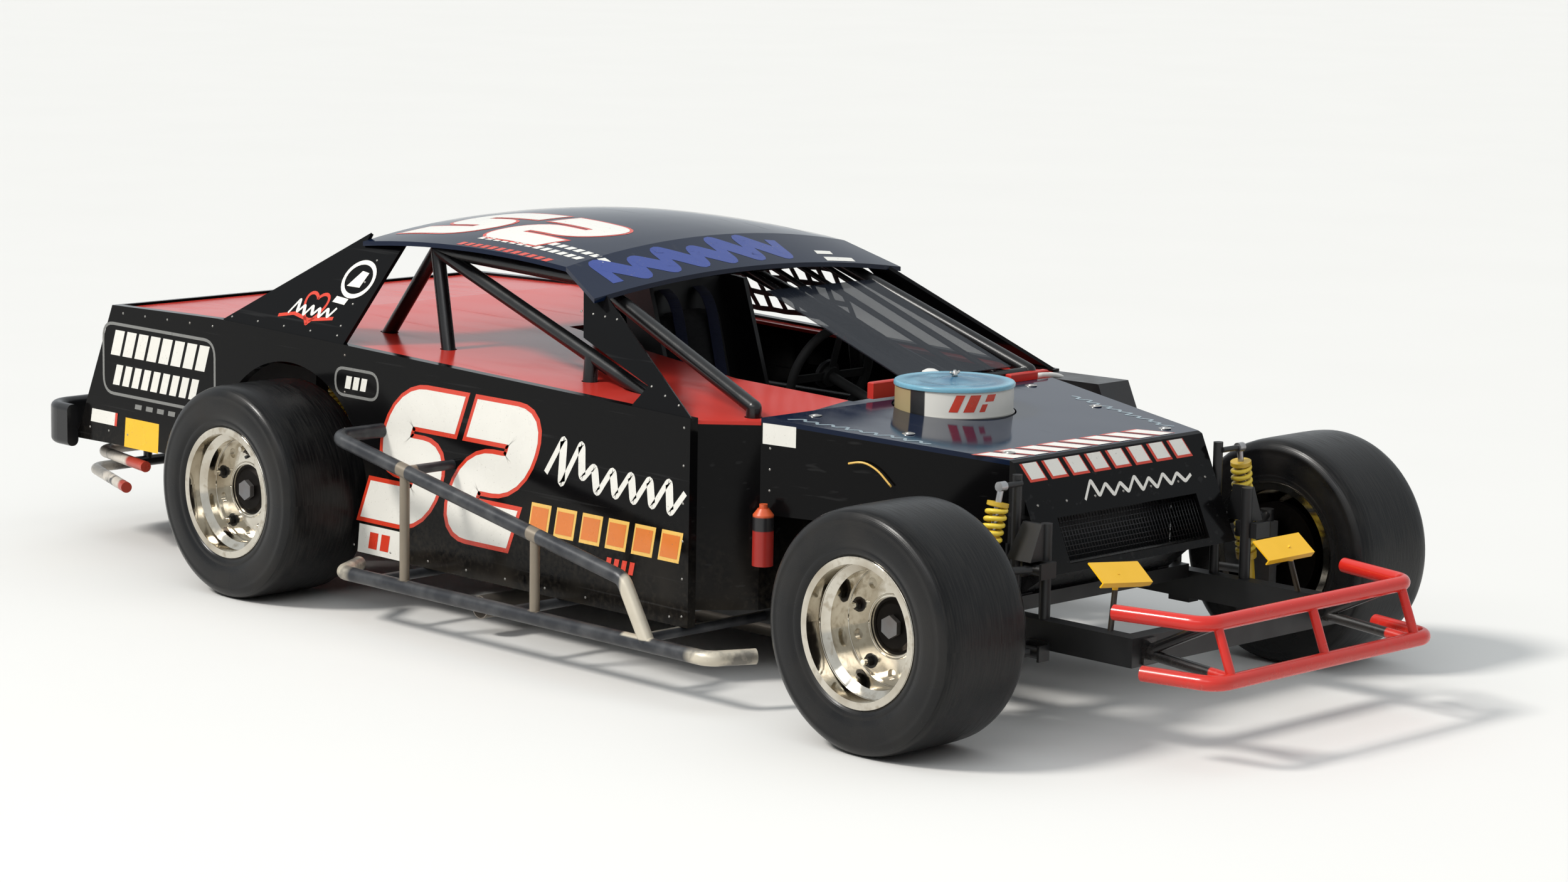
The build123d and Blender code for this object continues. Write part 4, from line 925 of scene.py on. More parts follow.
def make_side_marks(side, sign):
    """Numbers, labels and generic marks along one side of the body."""
    place = on_side(sign)
    lean = on_lean(sign)
    number(f"door_number_{side}", place, (0.738 if sign < 0 else -0.215, 0.280), (sign, 0), (0.42 * sign, 1),
           (0.312, 0.430, 0.366), 0.119, 0.014)
    script = swings((-0.100 if sign < 0 else -0.690, 0.500), sign * 0.078, SCRIPT, sign * 0.40)
    white = [panel([(0.752, 0.168), (0.535, 0.168), (0.527, 0.258), (0.742, 0.258)]),
             panel([(2.145, 0.400), (2.005, 0.400), (1.998, 0.444), (2.136, 0.444)]),
             brush(script, 0.030, 0.016)]
    white += slant_bars((2.030, 1.510), (0.636, 0.720), 8, 0.78, 0.35)
    white += slant_bars((2.020, 1.560), (0.538, 0.606), 9, 0.70, 0.35)
    white += slant_bars((0.815, 0.705), (0.668, 0.708), 3, 0.72)
    mark(f"side_white_{side}", white, place, "white")
    grey = [stroke(loop((1.470, 0.508), (2.070, 0.740), 0.055), 0.010, 1),
            stroke(loop((0.655, 0.647), (0.860, 0.730), 0.040), 0.009, 1)]
    grey += slant_bars((1.90, 1.60), (0.470, 0.486), 5, 0.6)
    mark(f"side_grey_{side}", grey, place, "grey")
    amber = slant_bars((-0.035, -0.700), (0.345, 0.435), 6, 0.78, 0.2)
    mark(f"side_amber_{side}", amber, place, "amber")
    orange = slant_bars((-0.043, -0.708), (0.356, 0.424), 6, 0.64, 0.2)
    mark(f"side_orange_{side}", orange, place, "orange", 2)
    red = slant_bars((-0.37, -0.50), (0.282, 0.320), 4, 0.6)
    red.append(panel([(2.013, 0.400), (2.000, 0.400), (1.993, 0.444), (2.006, 0.444)]))
    red += slant_bars((0.700, 0.590), (0.186, 0.238), 2, 0.72, 0.2)
    mark(f"side_red_{side}", red, place, "red", 2)
    label = panel([(1.96, 0.338), (1.775, 0.338), (1.768, 0.436), (1.95, 0.436)])
    mark(f"side_yellow_{side}", [label], place, "yellow")
    ring = [Vector((0.906 + 0.066 * math.cos(math.radians(a)), 0.985 + 0.050 * math.sin(math.radians(a))))
            for a in range(0, 361, 10)]
    wedge = panel([(0.945, 0.962), (0.885, 0.962), (0.872, 1.006), (0.905, 1.010)])
    foot = panel([(0.975, 0.912), (0.915, 0.908), (0.908, 0.926), (0.966, 0.930)])
    squiggle = brush(swings((1.150, 0.862), -0.037, NAME_SWINGS, -0.30), 0.0125, 0.007, 0.008)
    mark(f"sail_white_{side}", [stroke(ring, 0.013, 1), wedge, foot, squiggle], lean, "white", 2)
    heart = []
    for a in range(0, 361, 8):
        t = math.radians(a)
        rise = 13 * math.cos(t) - 5 * math.cos(2 * t) - 2 * math.cos(3 * t)
        heart.append(Vector((1.045 + 0.052 * math.sin(t) ** 3, 0.892 + 0.0034 * rise)))
    under = dense([(1.190, 0.852), (1.120, 0.864), (1.045, 0.852), (0.935, 0.866)])
    mark(f"sail_red_{side}", [stroke(heart, 0.010, 1), stroke(under, 0.010, 1)], lean, "red")


def make_roof_marks():
    """Number, rows of small bars and visor band on the roof."""
    place = on_node("roof")
    number("roof_number", place, (-0.505, 0.890), (0, -1), (1, -0.42), (0.290, 0.325, 0.340), 0.092, 0.009)
    white = slant_bars((0.42, -0.02), (-0.475, -0.448), 12, flip=True)
    white += slant_bars((0.50, 0.04), (-0.525, -0.498), 13, flip=True)
    white += [panel([(0.330, -0.155), (0.455, -0.155), (0.462, -0.130), (0.337, -0.130)]),
              panel([(0.330, -0.110), (0.400, -0.110), (0.408, -0.088), (0.337, -0.088)])]
    mark("roof_white", white, place, "white")
    mark("roof_red", slant_bars((0.52, 0.10), (-0.592, -0.566), 12, 0.66, flip=True), place, "red")
    band = brush(swings((-0.515, -0.122), 0.118, VISOR_SWINGS, -0.35), 0.068, 0.040)
    mark("visor_blue", [band], place, "blue")


def make_front_marks():
    """Blocks and scripts on the hood and nose, and plates on the cowl corners."""
    hood = slant_bars((-0.385, 0.330), (-1.562, -1.470), 8, 0.80, -0.70)
    mark("hood_blocks_edge", hood, on_hood, "red")
    hood = slant_bars((-0.378, 0.337), (-1.562, -1.478), 8, 0.64, -0.70)
    mark("hood_blocks_fill", hood, on_hood, "white", 2)
    nose = slant_bars((-0.362, 0.353), (0.658, 0.708), 8, 0.80, -0.46)
    mark("nose_blocks_edge", nose, on_nose, "red")
    nose = slant_bars((-0.355, 0.360), (0.665, 0.708), 8, 0.64, -0.46)
    mark("nose_blocks_fill", nose, on_nose, "white", 2)
    script = swings((-0.165, 0.592), 0.062, NOSE_SWINGS, 0.35)
    mark("nose_script", [brush(script, 0.013, 0.007, 0.008)], on_nose, "white")
    for side, sign in SIDES:
        plate = panel([(0.006, 0.692), (0.112, 0.689), (0.112, 0.748), (0.006, 0.751)])
        mark(f"cowl_plate_{side}", [plate], on_bay(sign), "white")
        start, end = [Vector(p) for p in HOOD_SCRIPT_ENDS[side]]
        run = (end - start).normalized()
        up = Vector((-run.y, run.x))
        line = [start + run * a + up * b for a, b in swings((0.0, 0.0), 0.047, HOOD_SWINGS, 0.4)]
        mark(f"hood_script_{side}", [stroke(dense(rounded(line, 0.012), 0.012), 0.010, 1)], on_hood, "frost")


def on_cleaner(a, b, lift):
    """Places on the air cleaner's band by (distance round from its marks' middle, z)."""
    reach = CLEANER_BAND_R + lift
    angle = math.radians(CLEANER_MARKS_AT) + a / reach
    return (CLEANER[0] + reach * math.cos(angle), CLEANER[1] + reach * math.sin(angle), b)


def make_cleaner():
    """Pressed lid with its rolled edge and wing nut, and the marks on the band."""
    top = Vector((*CLEANER, CLEANER_TOP))
    edge = CLEANER_R
    lid = Builder()
    lid.turned(top, UP, [
        (-0.006, edge - 0.003), (-0.006, edge), (0.002, edge), (0.0060, edge - 0.003), (0.0070, edge - 0.008),
        (0.0052, edge - 0.014), (0.0052, 0.128), (0.0072, 0.122), (0.0072, 0.108), (0.0052, 0.102),
        (0.0060, 0.075), (0.0120, 0.040), (0.0160, 0.024), (0.0165, 0.012), (0.0165, 0.0005)], 96)
    lid_piece = lid.piece("air_cleaner_lid_pressed", lid_blue, slot="cleaner_blue", angle=50)
    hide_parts("air_cleaner_lid")
    nut = Builder()
    base = top + Vector((0, 0, 0.0165))
    nut.turned(base, UP, NUT_BODY, 20)
    for sign in (-1, 1):
        nut.turned(base + Vector((sign * 0.006, 0, 0.006)), (sign * 0.014, 0, 0.008), NUT_WING, 12)
    nut.piece("air_cleaner_wing_nut", bright_steel, smooth=True)
    bars = [[(-0.078, 0.766), (-0.052, 0.766), (-0.030, 0.815), (-0.056, 0.815)],
            [(-0.036, 0.766), (-0.004, 0.766), (0.018, 0.815), (-0.014, 0.815)],
            [(0.012, 0.766), (0.030, 0.766), (0.040, 0.788), (0.022, 0.788)],
            [(0.030, 0.795), (0.060, 0.795), (0.069, 0.815), (0.039, 0.815)]]
    mark("air_cleaner_red_bars", [panel(p, 0.008) for p in bars], on_cleaner, "red")


# Outline of a strap across its run, in half widths and half thicknesses
STRAP_SECTION = (
    (-1, -0.5), (-0.9, -1), (0.9, -1), (1, -0.5), (1, 0.5), (0.9, 1), (-0.9, 1), (-1, 0.5), (-1, -0.5),
)


def strap(builder, points, normal, width, thick):
    """Flat band along points; normal gives the way that its face looks."""
    points = [Vector(p) for p in points]
    rings = []
    for i, point in enumerate(points):
        along = heading(points, i)
        out = Vector(normal) - along * along.dot(Vector(normal))
        out.normalize()
        side = along.cross(out)
        rings.append([point + side * u * width / 2 + out * v * thick / 2 for u, v in STRAP_SECTION])
    builder.grid(rings)
    for ring in (rings[0], rings[-1]):
        base = len(builder.verts)
        builder.verts.extend(tuple(point) for point in ring[:-1])
        builder.faces.append(tuple(range(base, base + len(ring) - 1)))


def spread(low, high, count):
    """Even places from low to high."""
    return [low + (high - low) * i / (count - 1) for i in range(count)]


def make_net():
    """Woven webbing net on the driver's window, over and under at each crossing."""
    place = on_lean(1)
    normal = (1.0, 0.0, LEAN)
    rows = spread(*NET_Z, NET_ROWS)
    columns = spread(*NET_Y, NET_COLUMNS)
    builder = Builder()
    for i, z in enumerate(rows):
        line = []
        for k, y in enumerate(spread(*NET_Y, NET_FINE * (NET_COLUMNS - 1) + 1)):
            over = math.cos(math.pi * (k / NET_FINE + i)) * NET_WEAVE
            sag = NET_SAG * math.sin(math.pi * k / (4 * NET_FINE)) ** 2
            line.append(place(y, z - sag, over - NET_DEPTH))
        strap(builder, line, normal, NET_STRAP, NET_THICK)
    for i, y in enumerate(columns):
        line = []
        for k, z in enumerate(spread(*NET_Z, NET_FINE * (NET_ROWS - 1) + 1)):
            over = -math.cos(math.pi * (k / NET_FINE + i)) * NET_WEAVE
            line.append(place(y, z, over - NET_DEPTH))
        strap(builder, line, normal, NET_STRAP, NET_THICK)
    half = NET_STRAP * 0.36
    for z in rows:
        for y in columns:
            line = [place(y + u * half, z + v * half, NET_STITCH_LIFT - NET_DEPTH) for u, v in NET_STITCH]
            builder.tube(line, NET_THREAD, 4)
    net = builder.piece("window_net_woven", webbing["black"], slot="net_webbing", angle=50)
    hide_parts("window_net")


def settle(obj):
    """Put the result of an object's modifiers into its mesh."""
    graph = bpy.context.evaluated_depsgraph_get()
    mesh = bpy.data.meshes.new_from_object(obj.evaluated_get(graph), depsgraph=graph)
    obj.modifiers.clear()
    obj.data = mesh


def puff(pad):
    """Swell a pad by a short cloth simulation under pressure, and keep the result in its mesh."""
    remesh = pad.modifiers.new("remesh", "REMESH")
    remesh.mode = "VOXEL"
    remesh.voxel_size = PUFF_VOXEL
    remesh.use_smooth_shade = True
    settle(pad)
    before = [vertex.co.copy() for vertex in pad.data.vertices]
    cover = pad.modifiers.new("cover", "CLOTH")
    cover.settings.use_pressure = True
    cover.settings.uniform_pressure_force = PUFF_PRESSURE
    cover.settings.effector_weights.gravity = 0.0
    for step in range(1, PUFF_FRAMES + 1):
        bpy.context.scene.frame_set(step)
    settle(pad)
    bpy.context.scene.frame_set(1)
    for vertex, start in zip(pad.data.vertices, before):
        move = vertex.co - start
        if move.length > PUFF_LIMIT:
            vertex.co = start + move.normalized() * PUFF_LIMIT


def cushion(name, centre, half, tilt, crown):
    """Closed pad with rounded edges and a crowned face, sewn in two places; tilt is in degrees."""
    turn = Matrix.Rotation(math.radians(tilt), 3, "X")
    across, along = PAD_GRID
    verts = []
    faces = []
    for sheet in (1, -1):
        for i in range(along + 1):
            for k in range(across + 1):
                u = 2 * k / across - 1
                v = 2 * i / along - 1
                edge = (1 - u ** 4) * (1 - v ** 4)
                seam = SEAM_DEPTH * (math.exp(-((abs(v) - SEAM_AT) / SEAM_WIDTH) ** 2))
                rise = half[2] * 0.35 * edge ** 0.25
                if sheet > 0:
                    rise += crown * edge ** 0.55 * (1 - seam) + 0.0012 * math.sin(9 * u + 5 * v) * edge
                corner = 1 - 0.055 * (u * v) ** 4
                point = Vector((u * half[0] * corner, v * half[1] * corner, sheet * rise))
                verts.append(tuple(Vector(centre) + turn @ point))
    count = (along + 1) * (across + 1)
    for i in range(along):
        for k in range(across):
            a = i * (across + 1) + k
            quad = (a, a + 1, a + across + 2, a + across + 1)
            faces.append(quad)
            faces.append(tuple(count + index for index in reversed(quad)))
    rim = list(range(across + 1))
    rim += [i * (across + 1) + across for i in range(1, along + 1)]
    rim += [along * (across + 1) + k for k in range(across - 1, -1, -1)]
    rim += [i * (across + 1) for i in range(along - 1, 0, -1)]
    for a, b in zip(rim, rim[1:] + rim[:1]):
        faces.append((a, count + a, count + b, b))
    pad = new_piece(name, verts, faces, pad_cloth, smooth=True)
    tidy_normals(pad)
    puff(pad)
    smooth = pad.modifiers.new("smooth", "SUBSURF")
    smooth.levels = 1
    smooth.render_levels = 1


# Belts as places from the seat's middle, the radius of their bends, and the way that the face looks
BELT_RUNS = [
    ([(0.075, 0.500, 0.925), (0.075, 0.462, 0.905), (0.075, 0.436, 0.860), (0.075, 0.395, 0.700),
      (0.075, 0.352, 0.520), (0.045, 0.285, 0.425), (0.020, 0.240, 0.404)], 0.05, (0, -1, 0.35)),
    ([(0.206, 0.312, 0.424), (0.120, 0.250, 0.416), (0.030, 0.225, 0.408)], 0.03, (0, -0.3, 1)),
]


def make_seat_dressing():
    """Seat pads, and the harness straps with their buckle."""
    cushion("seat_base_pad", (DRIVER_X, 0.150, 0.350), (0.158, 0.178, 0.026), -1.3, 0.020)
    cushion("seat_back_pad", (DRIVER_X, 0.4145, 0.640), (0.148, 0.233, 0.026), 75.0, 0.015)
    belts = Builder()
    for sign in (-1, 1):
        for run, bend, face in BELT_RUNS:
            line = [(DRIVER_X + sign * x, y, z) for x, y, z in run]
            strap(belts, dense(rounded(line, bend), 0.02), face, *BELT)
    belts.piece("harness_straps", webbing["blue"], slot="net_webbing", angle=50)
    buckle = Builder()
    buckle.turned((DRIVER_X, 0.222, 0.404), (0, -0.2, 1), BUCKLE, 24)
    buckle.piece("harness_buckle", bright_steel, angle=SHARP)


def make_wheel_grip():
    """Pad on the steering wheel's hub, with its bolts."""
    centre = Vector((DRIVER_X, -0.170, 0.720))
    axis = Vector((0, 1, 0.32)).normalized()
    hub = Builder()
    hub.turned(centre, axis, HUB_PAD, 32)
    hub.piece("steering_hub_pad", rubber, angle=SHARP)
    bolts = Builder()
    side = Vector((1, 0, 0))
    up = axis.cross(side)
    for degrees in range(30, 390, 60):
        angle = math.radians(degrees)
        out = side * math.cos(angle) + up * math.sin(angle)
        bolts.dome(centre + out * 0.034 + axis * 0.0245, axis, 0.0042, 0.003)
    bolts.piece("steering_hub_bolts", bright_steel, smooth=True)


def coil_over(index, low, top, cap):
    """Threaded damper with its helical spring between two seats; all from the lower eye upward."""
    low = Vector(low)
    top = Vector(top)
    length = (top - low).length
    axis = (top - low).normalized()
    body = Builder()
    body.turned(low, axis, [(0.0, 0.014), (0.012, 0.014), (0.018, 0.012)], 24)
    body.turned(low, axis, [(length * 0.58, 0.0088), (length - 0.004, 0.0088)], 24)
    tube = Builder()
    tube.turned(low, axis, [
        (0.016, 0.017), (0.020, 0.0215), (length * 0.70, 0.0215), (length * 0.715, 0.018)], 24)
    tube.turned(low, axis, [(length * 0.205, 0.0295), (length * 0.245, 0.0305), (length * 0.250, 0.028)], 32)
    tube.turned(low, axis, [(length * 0.862, 0.028), (length * 0.867, 0.0305), (length * 0.892, 0.0300)], 32)
    barrel = tube.piece(f"damper_tube_{index}", damper_yellow, slot="shock_yellow", angle=SHARP)
    if cap:
        body.turned(top, axis, [(-0.010, 0.013), (0.0, 0.013)], 16)
    else:
        body.turned((top.x, top.y, top.z - 0.004), (-top.x, 0, 0), [(-0.012, 0.0138), (0.012, 0.0138)], 20)
    damper = body.piece(f"damper_{index}", damper_steel, slot="shock_yellow", angle=SHARP)
    side = axis.orthogonal().normalized()
    other = axis.cross(side)
    line = []
    steps = SPRING_TURNS * SPRING_STEPS
    for i in range(steps + 1):
        t = i / steps
        angle = 2 * math.pi * SPRING_TURNS * t
        rise = length * (SPRING_FROM + SPRING_RUN * t)
        line.append(low + axis * rise + (side * math.cos(angle) + other * math.sin(angle)) * SPRING_R)
    coil = Builder()
    coil.tube(line, SPRING_WIRE, 10)
    spring = coil.piece(f"spring_{index}", spring_yellow, slot="shock_yellow", smooth=True)
    return damper, barrel, spring


def make_coil_overs():
    """Four dampers with helical springs instead of the stacked rings."""
    pieces = []
    for side, sign in SIDES:
        for end, eyes in DAMPER_EYES.items():
            low, top = [(sign * x, y, z) for x, y, z in eyes]
            pieces += coil_over(f"{end}_{side}", low, top, end == "rear")
    for piece in pieces:
        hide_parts("coil_overs")


def rivet_row(builder, place, start, end, pitch, normal):
    """Dome rivets at even steps between two places of a plane."""
    start = Vector(start)
    end = Vector(end)
    count = max(1, round((end - start).length / pitch))
    for i in range(count + 1):
        a, b = start + (end - start) * i / count
        builder.dome(place(a, b, 0.0), normal, *RIVET)


def make_rivets():
    """Rivets along the panel edges, and quarter turn fasteners on the hood."""
    heads = Builder()
    for sign in (-1, 1):
        for rows, place, normal in ((SIDE_RIVETS, on_side(sign), (sign, 0, 0)),
                                    (LEAN_RIVETS, on_lean(sign), (sign, 0, LEAN)),
                                    (BAY_RIVETS, on_bay(sign), (sign, -0.28, 0))):
            for row in rows:
                rivet_row(heads, place, *row, normal)
    for x in spread(-0.36, 0.36, 7):
        heads.dome(on_nose(x, 0.598, 0.0), (0, -1, 0.45), *RIVET)
    for x in spread(-0.66, 0.66, 7):
        for z in (0.770, 0.365):
            heads.dome(on_tail(x, z, 0.0), (0, 1, 0.42), *RIVET)
    heads.piece("panel_rivets", rivet_steel, angle=60)
    pins = Builder()
    for x, y in HOOD_FASTENERS:
        pins.turned(on_hood(x, y, 0.0), (0, 0.06, 1), HOOD_FASTENER, 24)
    pins.piece("hood_fasteners", bright_steel, angle=SHARP)


def make_cowl_pieces():
    """Small fittings that stand along the cowl and at the right windshield post."""
    box = Builder()
    box.box((-0.045, -0.765, 0.786), (0.064, 0.012, 0.024))
    box.box((0.550, -0.790, 0.772), (0.085, 0.012, 0.012))
    box.piece("cowl_red_blocks", red_plastic, angle=SHARP)
    cap = Builder()
    for x, radius, high in ((0.150, 0.030, 0.062), (0.562, 0.012, 0.030)):
        cap.turned((x, -0.762, 0.764), UP, [
            (0, radius), (high * 0.72, radius), (high * 0.9, radius * 0.82), (high, radius * 0.4)], 24)
    cap.piece("cowl_white_caps", white_plastic, angle=SHARP)
    hose = Builder()
    hose.tube([(0.585 + 0.125 * math.sin(math.radians(a)), -0.800, 0.740 + 0.030 * math.cos(math.radians(a)))
               for a in range(0, 121, 10)], 0.0095, 12)
    hose.piece("cowl_pale_hose", white_plastic, smooth=True)
    wire = Builder()
    bends = ((0.285, 0.664), (0.330, 0.674), (0.375, 0.656), (0.420, 0.612))
    line = [on_bay(-1)(a, z, 0.012) for a, z in bends]
    wire.tube(dense(rounded(line, 0.04), 0.01), 0.0030, 8)
    wire.piece("bay_amber_wire", vinyl["amber"], smooth=True)
    foot = Builder()
    foot.box((-0.566, -0.744, 0.774), (0.014, 0.020, 0.007))
    foot.nut((-0.566, -0.744, 0.781), UP, *SMALL_NUT)
    foot.piece("post_foot_clamp", bright_steel, angle=SHARP)


def outline(half, low, high):
    """Closed rectangle about the car's middle by (x, z)."""
    return [(half, low), (half, high), (-half, high), (-half, low), (half, low)]


def make_inlet():
    """Mesh in the nose inlet and the sheet duct from it to the radiator."""
    mesh = Builder()
    low, high = INLET_Z
    for x in spread(-INLET_HALF, INLET_HALF, 47):
        mesh.tube([on_nose(x, low, -0.012), on_nose(x, high, -0.012)], INLET_WIRE, 5)
    for z in spread(low, high, 10):
        mesh.tube([on_nose(-INLET_HALF, z, -0.0132), on_nose(INLET_HALF, z, -0.0132)], INLET_WIRE, 5)
    mesh.piece("inlet_mesh", cage_black, slot="frame_paint", smooth=True)
    duct = Builder()
    duct.grid([[on_nose(x, z, -0.0155) for x, z in outline(INLET_HALF, low, high)],
               [(x, RADIATOR_Y, z) for x, z in outline(RADIATOR_HALF, *RADIATOR_Z)]])
    duct.piece("inlet_duct", cage_black, slot="frame_paint")


def make_filler_cap():
    """Filler cap on the fuel cell, in its ring of nuts."""
    cap = Builder()
    base = Vector((0.0, 1.765, 0.620))
    cap.turned(base, UP, FILLER_CAP, 32)
    for out in circle(Vector((1, 0, 0)), Vector((0, 1, 0)), 12):
        cap.nut(base + out * 0.076, UP, *SMALL_NUT)
    cap.piece("filler_cap", bright_steel, angle=SHARP)


def aimed(name, data, place, target, roll=0.0):
    """Camera or lamp at a place, turned to look at a target."""
    obj = bpy.data.objects.new(name, data)
    bpy.context.scene.collection.objects.link(obj)
    aim = Vector(target) - Vector(place)
    turn = aim.to_track_quat("-Z", "Y").to_matrix() @ Matrix.Rotation(math.radians(roll), 3, "Z")
    obj.matrix_world = Matrix.Translation(place) @ turn.to_4x4()
    return obj


def make_camera():
    """Camera at the photograph's place and angle."""
    data = bpy.data.cameras.new("camera")
    data.lens = CAMERA_LENS
    data.sensor_width = 36.0
    data.sensor_fit = "HORIZONTAL"
    data.clip_end = 400.0
    bpy.context.scene.camera = aimed("camera", data, CAMERA_AT, CAMERA_TARGET, CAMERA_ROLL)


def make_lamps():
    """Sun with a soft edge, and a long soft lamp at the right front."""
    sun = bpy.data.lights.new("sun", "SUN")
    sun.energy = SUN_POWER
    sun.angle = math.radians(SUN_SPREAD)
    sun.color = SUN_COLOR
    aimed("sun", sun, Vector(SUN_TOWARD) * 10, (0, 0, 0))
    strip = bpy.data.lights.new("sky_strip", "AREA")
    strip.shape = "RECTANGLE"
    strip.size, strip.size_y = STRIP_SIZE
    strip.energy = STRIP_POWER
    aimed("sky_strip", strip, STRIP_AT, STRIP_TARGET)


def make_floor():
    """Pale floor."""
    mesh = bpy.data.meshes.new("floor")
    mesh.from_pydata([(x * FLOOR_HALF, y * FLOOR_HALF, 0) for x, y in CORNERS], [], [(0, 1, 2, 3)])
    floor = bpy.data.objects.new("floor", mesh)
    bpy.context.scene.collection.objects.link(floor)
    look = Look("floor_pale", FLOOR_COLORS[0], 0.90)
    look.set("Specular IOR Level", 0.1)
    look.set("Base Color", look.mix(look.ease(look.noise(0.8, 4.0), 0.3, 0.7), *FLOOR_COLORS))
    mesh.materials.append(look.mat)
    floor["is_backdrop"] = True


def make_world():
    """Sky that lights the car from overhead; the camera, metal and glass see plain pale grey."""
    world = bpy.data.worlds.new("studio")
    bpy.context.scene.world = world
    sky = Nodes(world)
    place = sky.add("ShaderNodeTexCoord").outputs["Generated"]
    height = sky.add("ShaderNodeSeparateXYZ", {0: place}).outputs["Z"]
    rise = dict(enumerate((height, *SKY_RISE, *SKY_POWER)))
    glow = sky.add("ShaderNodeMapRange", rise, interpolation_type="SMOOTHSTEP").outputs[0]
    path = sky.add("ShaderNodeLightPath").outputs
    seen = sky.most(sky.most(path["Is Camera Ray"], path["Is Glossy Ray"]), path["Is Transmission Ray"])
    power = sky.add("ShaderNodeMix", {0: seen, 2: glow, 3: BACKDROP}, data_type="FLOAT").outputs[0]
    back = sky.tree.nodes["Background"].inputs
    sky.feed(back["Color"], SKY_COLOR)
    sky.feed(back["Strength"], power)


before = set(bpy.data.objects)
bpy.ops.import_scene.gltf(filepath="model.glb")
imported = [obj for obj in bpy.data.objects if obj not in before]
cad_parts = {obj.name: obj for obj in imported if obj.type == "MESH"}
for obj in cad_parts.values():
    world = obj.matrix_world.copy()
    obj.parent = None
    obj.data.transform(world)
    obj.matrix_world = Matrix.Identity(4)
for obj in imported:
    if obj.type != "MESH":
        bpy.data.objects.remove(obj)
cad_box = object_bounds()
bpy.context.scene.view_settings.view_transform = "Standard"
make_camera()
make_floor()
make_world()
make_lamps()

tyre_tread = {end: make_tyre_tread(end) for end in AXLE_Y}
tyre_side = {end: make_tyre_side(end) for end in AXLE_Y}
wheel_look = {end: make_wheel(end) for end in AXLE_Y}
vinyl = {name: make_vinyl(name, color) for name, color in VINYL_COLORS.items()}
webbing = {"black": make_webbing("webbing_black", (0.016, 0.016, 0.018)),
           "blue": make_webbing("webbing_blue", (0.018, 0.028, 0.10))}
bright_steel = make_steel("bright_steel", (0.55, 0.54, 0.52), 0.25, 0.15)
nut_steel = make_steel("nut_steel", (0.030, 0.029, 0.028), 0.35, 0.2)
rivet_steel = make_steel("rivet_steel", (0.30, 0.29, 0.27), 0.35, 0.3)
damper_steel = make_steel("damper_steel", (0.40, 0.40, 0.41), 0.28, 0.2)
damper_yellow = make_plain("damper_yellow_paint", (0.62, 0.40, 0.030), 0.32)
spring_yellow = make_plain("spring_yellow_paint", SHOCK_YELLOW, 0.30)
lid_blue = make_plain("cleaner_lid_blue", PALE_BLUE, 0.24, depth=0.04, region=lid_region)
rubber = make_plain("moulded_rubber", (0.015, 0.015, 0.016), 0.55)
red_plastic = make_plain("red_plastic", (0.55, 0.030, 0.020), 0.35)
white_plastic = make_plain("white_plastic", (0.78, 0.76, 0.72), 0.35)
pad_cloth = make_webbing("seat_pad_cloth", (0.014, 0.014, 0.016))
frame_black = make_plain("frame_satin_black", (0.007, 0.007, 0.0075), 0.40)
cage_black = make_plain("cage_gloss_black", (0.006, 0.006, 0.0065), 0.22)

for end in AXLE_Y:
    for side, sign in SIDES:
        make_tyre(end, side, sign)
        make_wheel_trim(end, side, sign)
for side, sign in SIDES:
    make_side_marks(side, sign)
make_roof_marks()
make_front_marks()
make_cleaner()
make_net()
make_seat_dressing()
make_wheel_grip()
make_coil_overs()
make_rivets()
make_cowl_pieces()
make_inlet()
make_filler_cap()

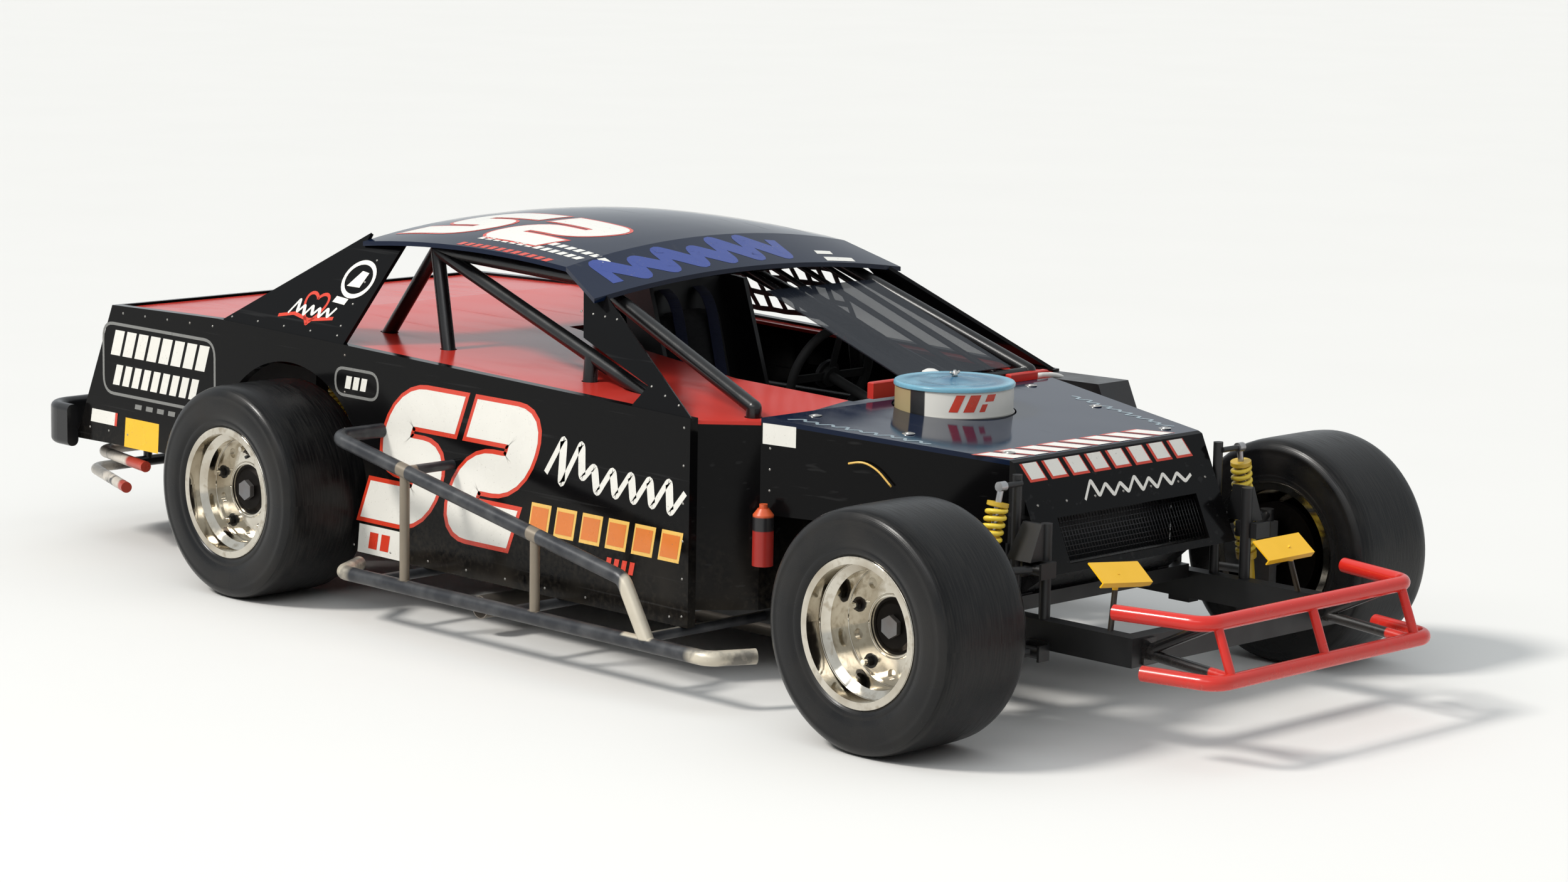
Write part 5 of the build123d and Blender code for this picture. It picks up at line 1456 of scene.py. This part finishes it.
body_black = gloss_paint("body_black_paint", BLACK, amount=0.16, shine=0.10)
roof_navy = gloss_paint("roof_navy_paint", NAVY, 0.08, shine=0.16)
deck_red = gloss_paint("deck_red_paint", RED, 0.16, amount=0.0, wave=0.3, shine=0.16, region=deck_region)
LOOKS = {
    "door_right": body_black, "door_left": body_black, "quarter_right": body_black,
    "quarter_left": body_black, "nose": body_black, "engine_bay_sides": body_black,
    "tail_panel": body_black, "pillar_panels": body_black, "sail_panels": body_black, "firewall": body_black,
    "hood": roof_navy, "roof": roof_navy,
    "interior_deck": deck_red, "rear_deck": deck_red,
    "frame_rails": frame_black, "front_arms": frame_black, "roll_cage": cage_black,
    "rear_bumper": make_plain("rear_bumper_paint", SATIN, 0.25, region=rear_bumper_region),
    "front_bumper": gloss_paint("bumper_red_paint", BUMPER_RED, 0.20, 0.35, 0.30, 0.0,
                                region=front_bumper_region),
    "floor_pan": make_plain("floor_sheet", (0.24, 0.24, 0.25), 0.45, 0.9),
    "engine_block": make_plain("engine_dark", (0.030, 0.030, 0.032), 0.55, 0.3, 60.0, 0.5),
    "exhaust_pipes": make_plain("pipe_steel_heat", PIPE, 0.40, 0.8, region=pipe_region),
    "air_cleaner": make_plain("cleaner_band", (0.80, 0.80, 0.78), 0.35, region=cleaner_region, vary=0.05),
    "air_cleaner_lid": lid_blue,
    "radiator": make_plain("radiator_sheet", (0.030, 0.030, 0.032), 0.5, 0.5),
    "bulkhead_tanks": make_plain("tank_paints", (0.20, 0.012, 0.010), 0.30, region=tank_region, vary=0.05),
    "windshield": make_clear("windshield_clear"),
    "seat": make_plain("seat_black_shell", (0.014, 0.014, 0.015), 0.35),
    "steering_wheel": make_plain("grip_foam", (0.016, 0.016, 0.016), 0.70),
    "window_net": webbing["black"],
    "fuel_cell": make_plain("fuel_cell_box", (0.022, 0.022, 0.022), 0.60),
    "rear_axle": make_steel("axle_casting", (0.22, 0.22, 0.225), 0.50),
    "coil_overs": spring_yellow,
    "front_plates": make_plain("plate_yellow_paint", YELLOW, 0.35, vary=0.10, region=plate_region),
    "side_guards": make_plain("guard_tube_paint", (0.10, 0.10, 0.11), 0.35, 0.3, region=guard_region,
                              vary=0.15),
    "knuckle_right": make_steel("knuckle_steel", (0.20, 0.20, 0.20), 0.50),
}
LOOKS["knuckle_left"] = LOOKS["knuckle_right"]
for end in AXLE_Y:
    for side, _ in SIDES:
        LOOKS[f"{end}_wheel_{side}"] = wheel_look[end]
        LOOKS[f"{end}_tyre_{side}"] = tyre_side[end]
for node, material in LOOKS.items():
    paint_node(node, material)

boxes = [[list(corner) for corner in box] for box in (cad_box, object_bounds())]
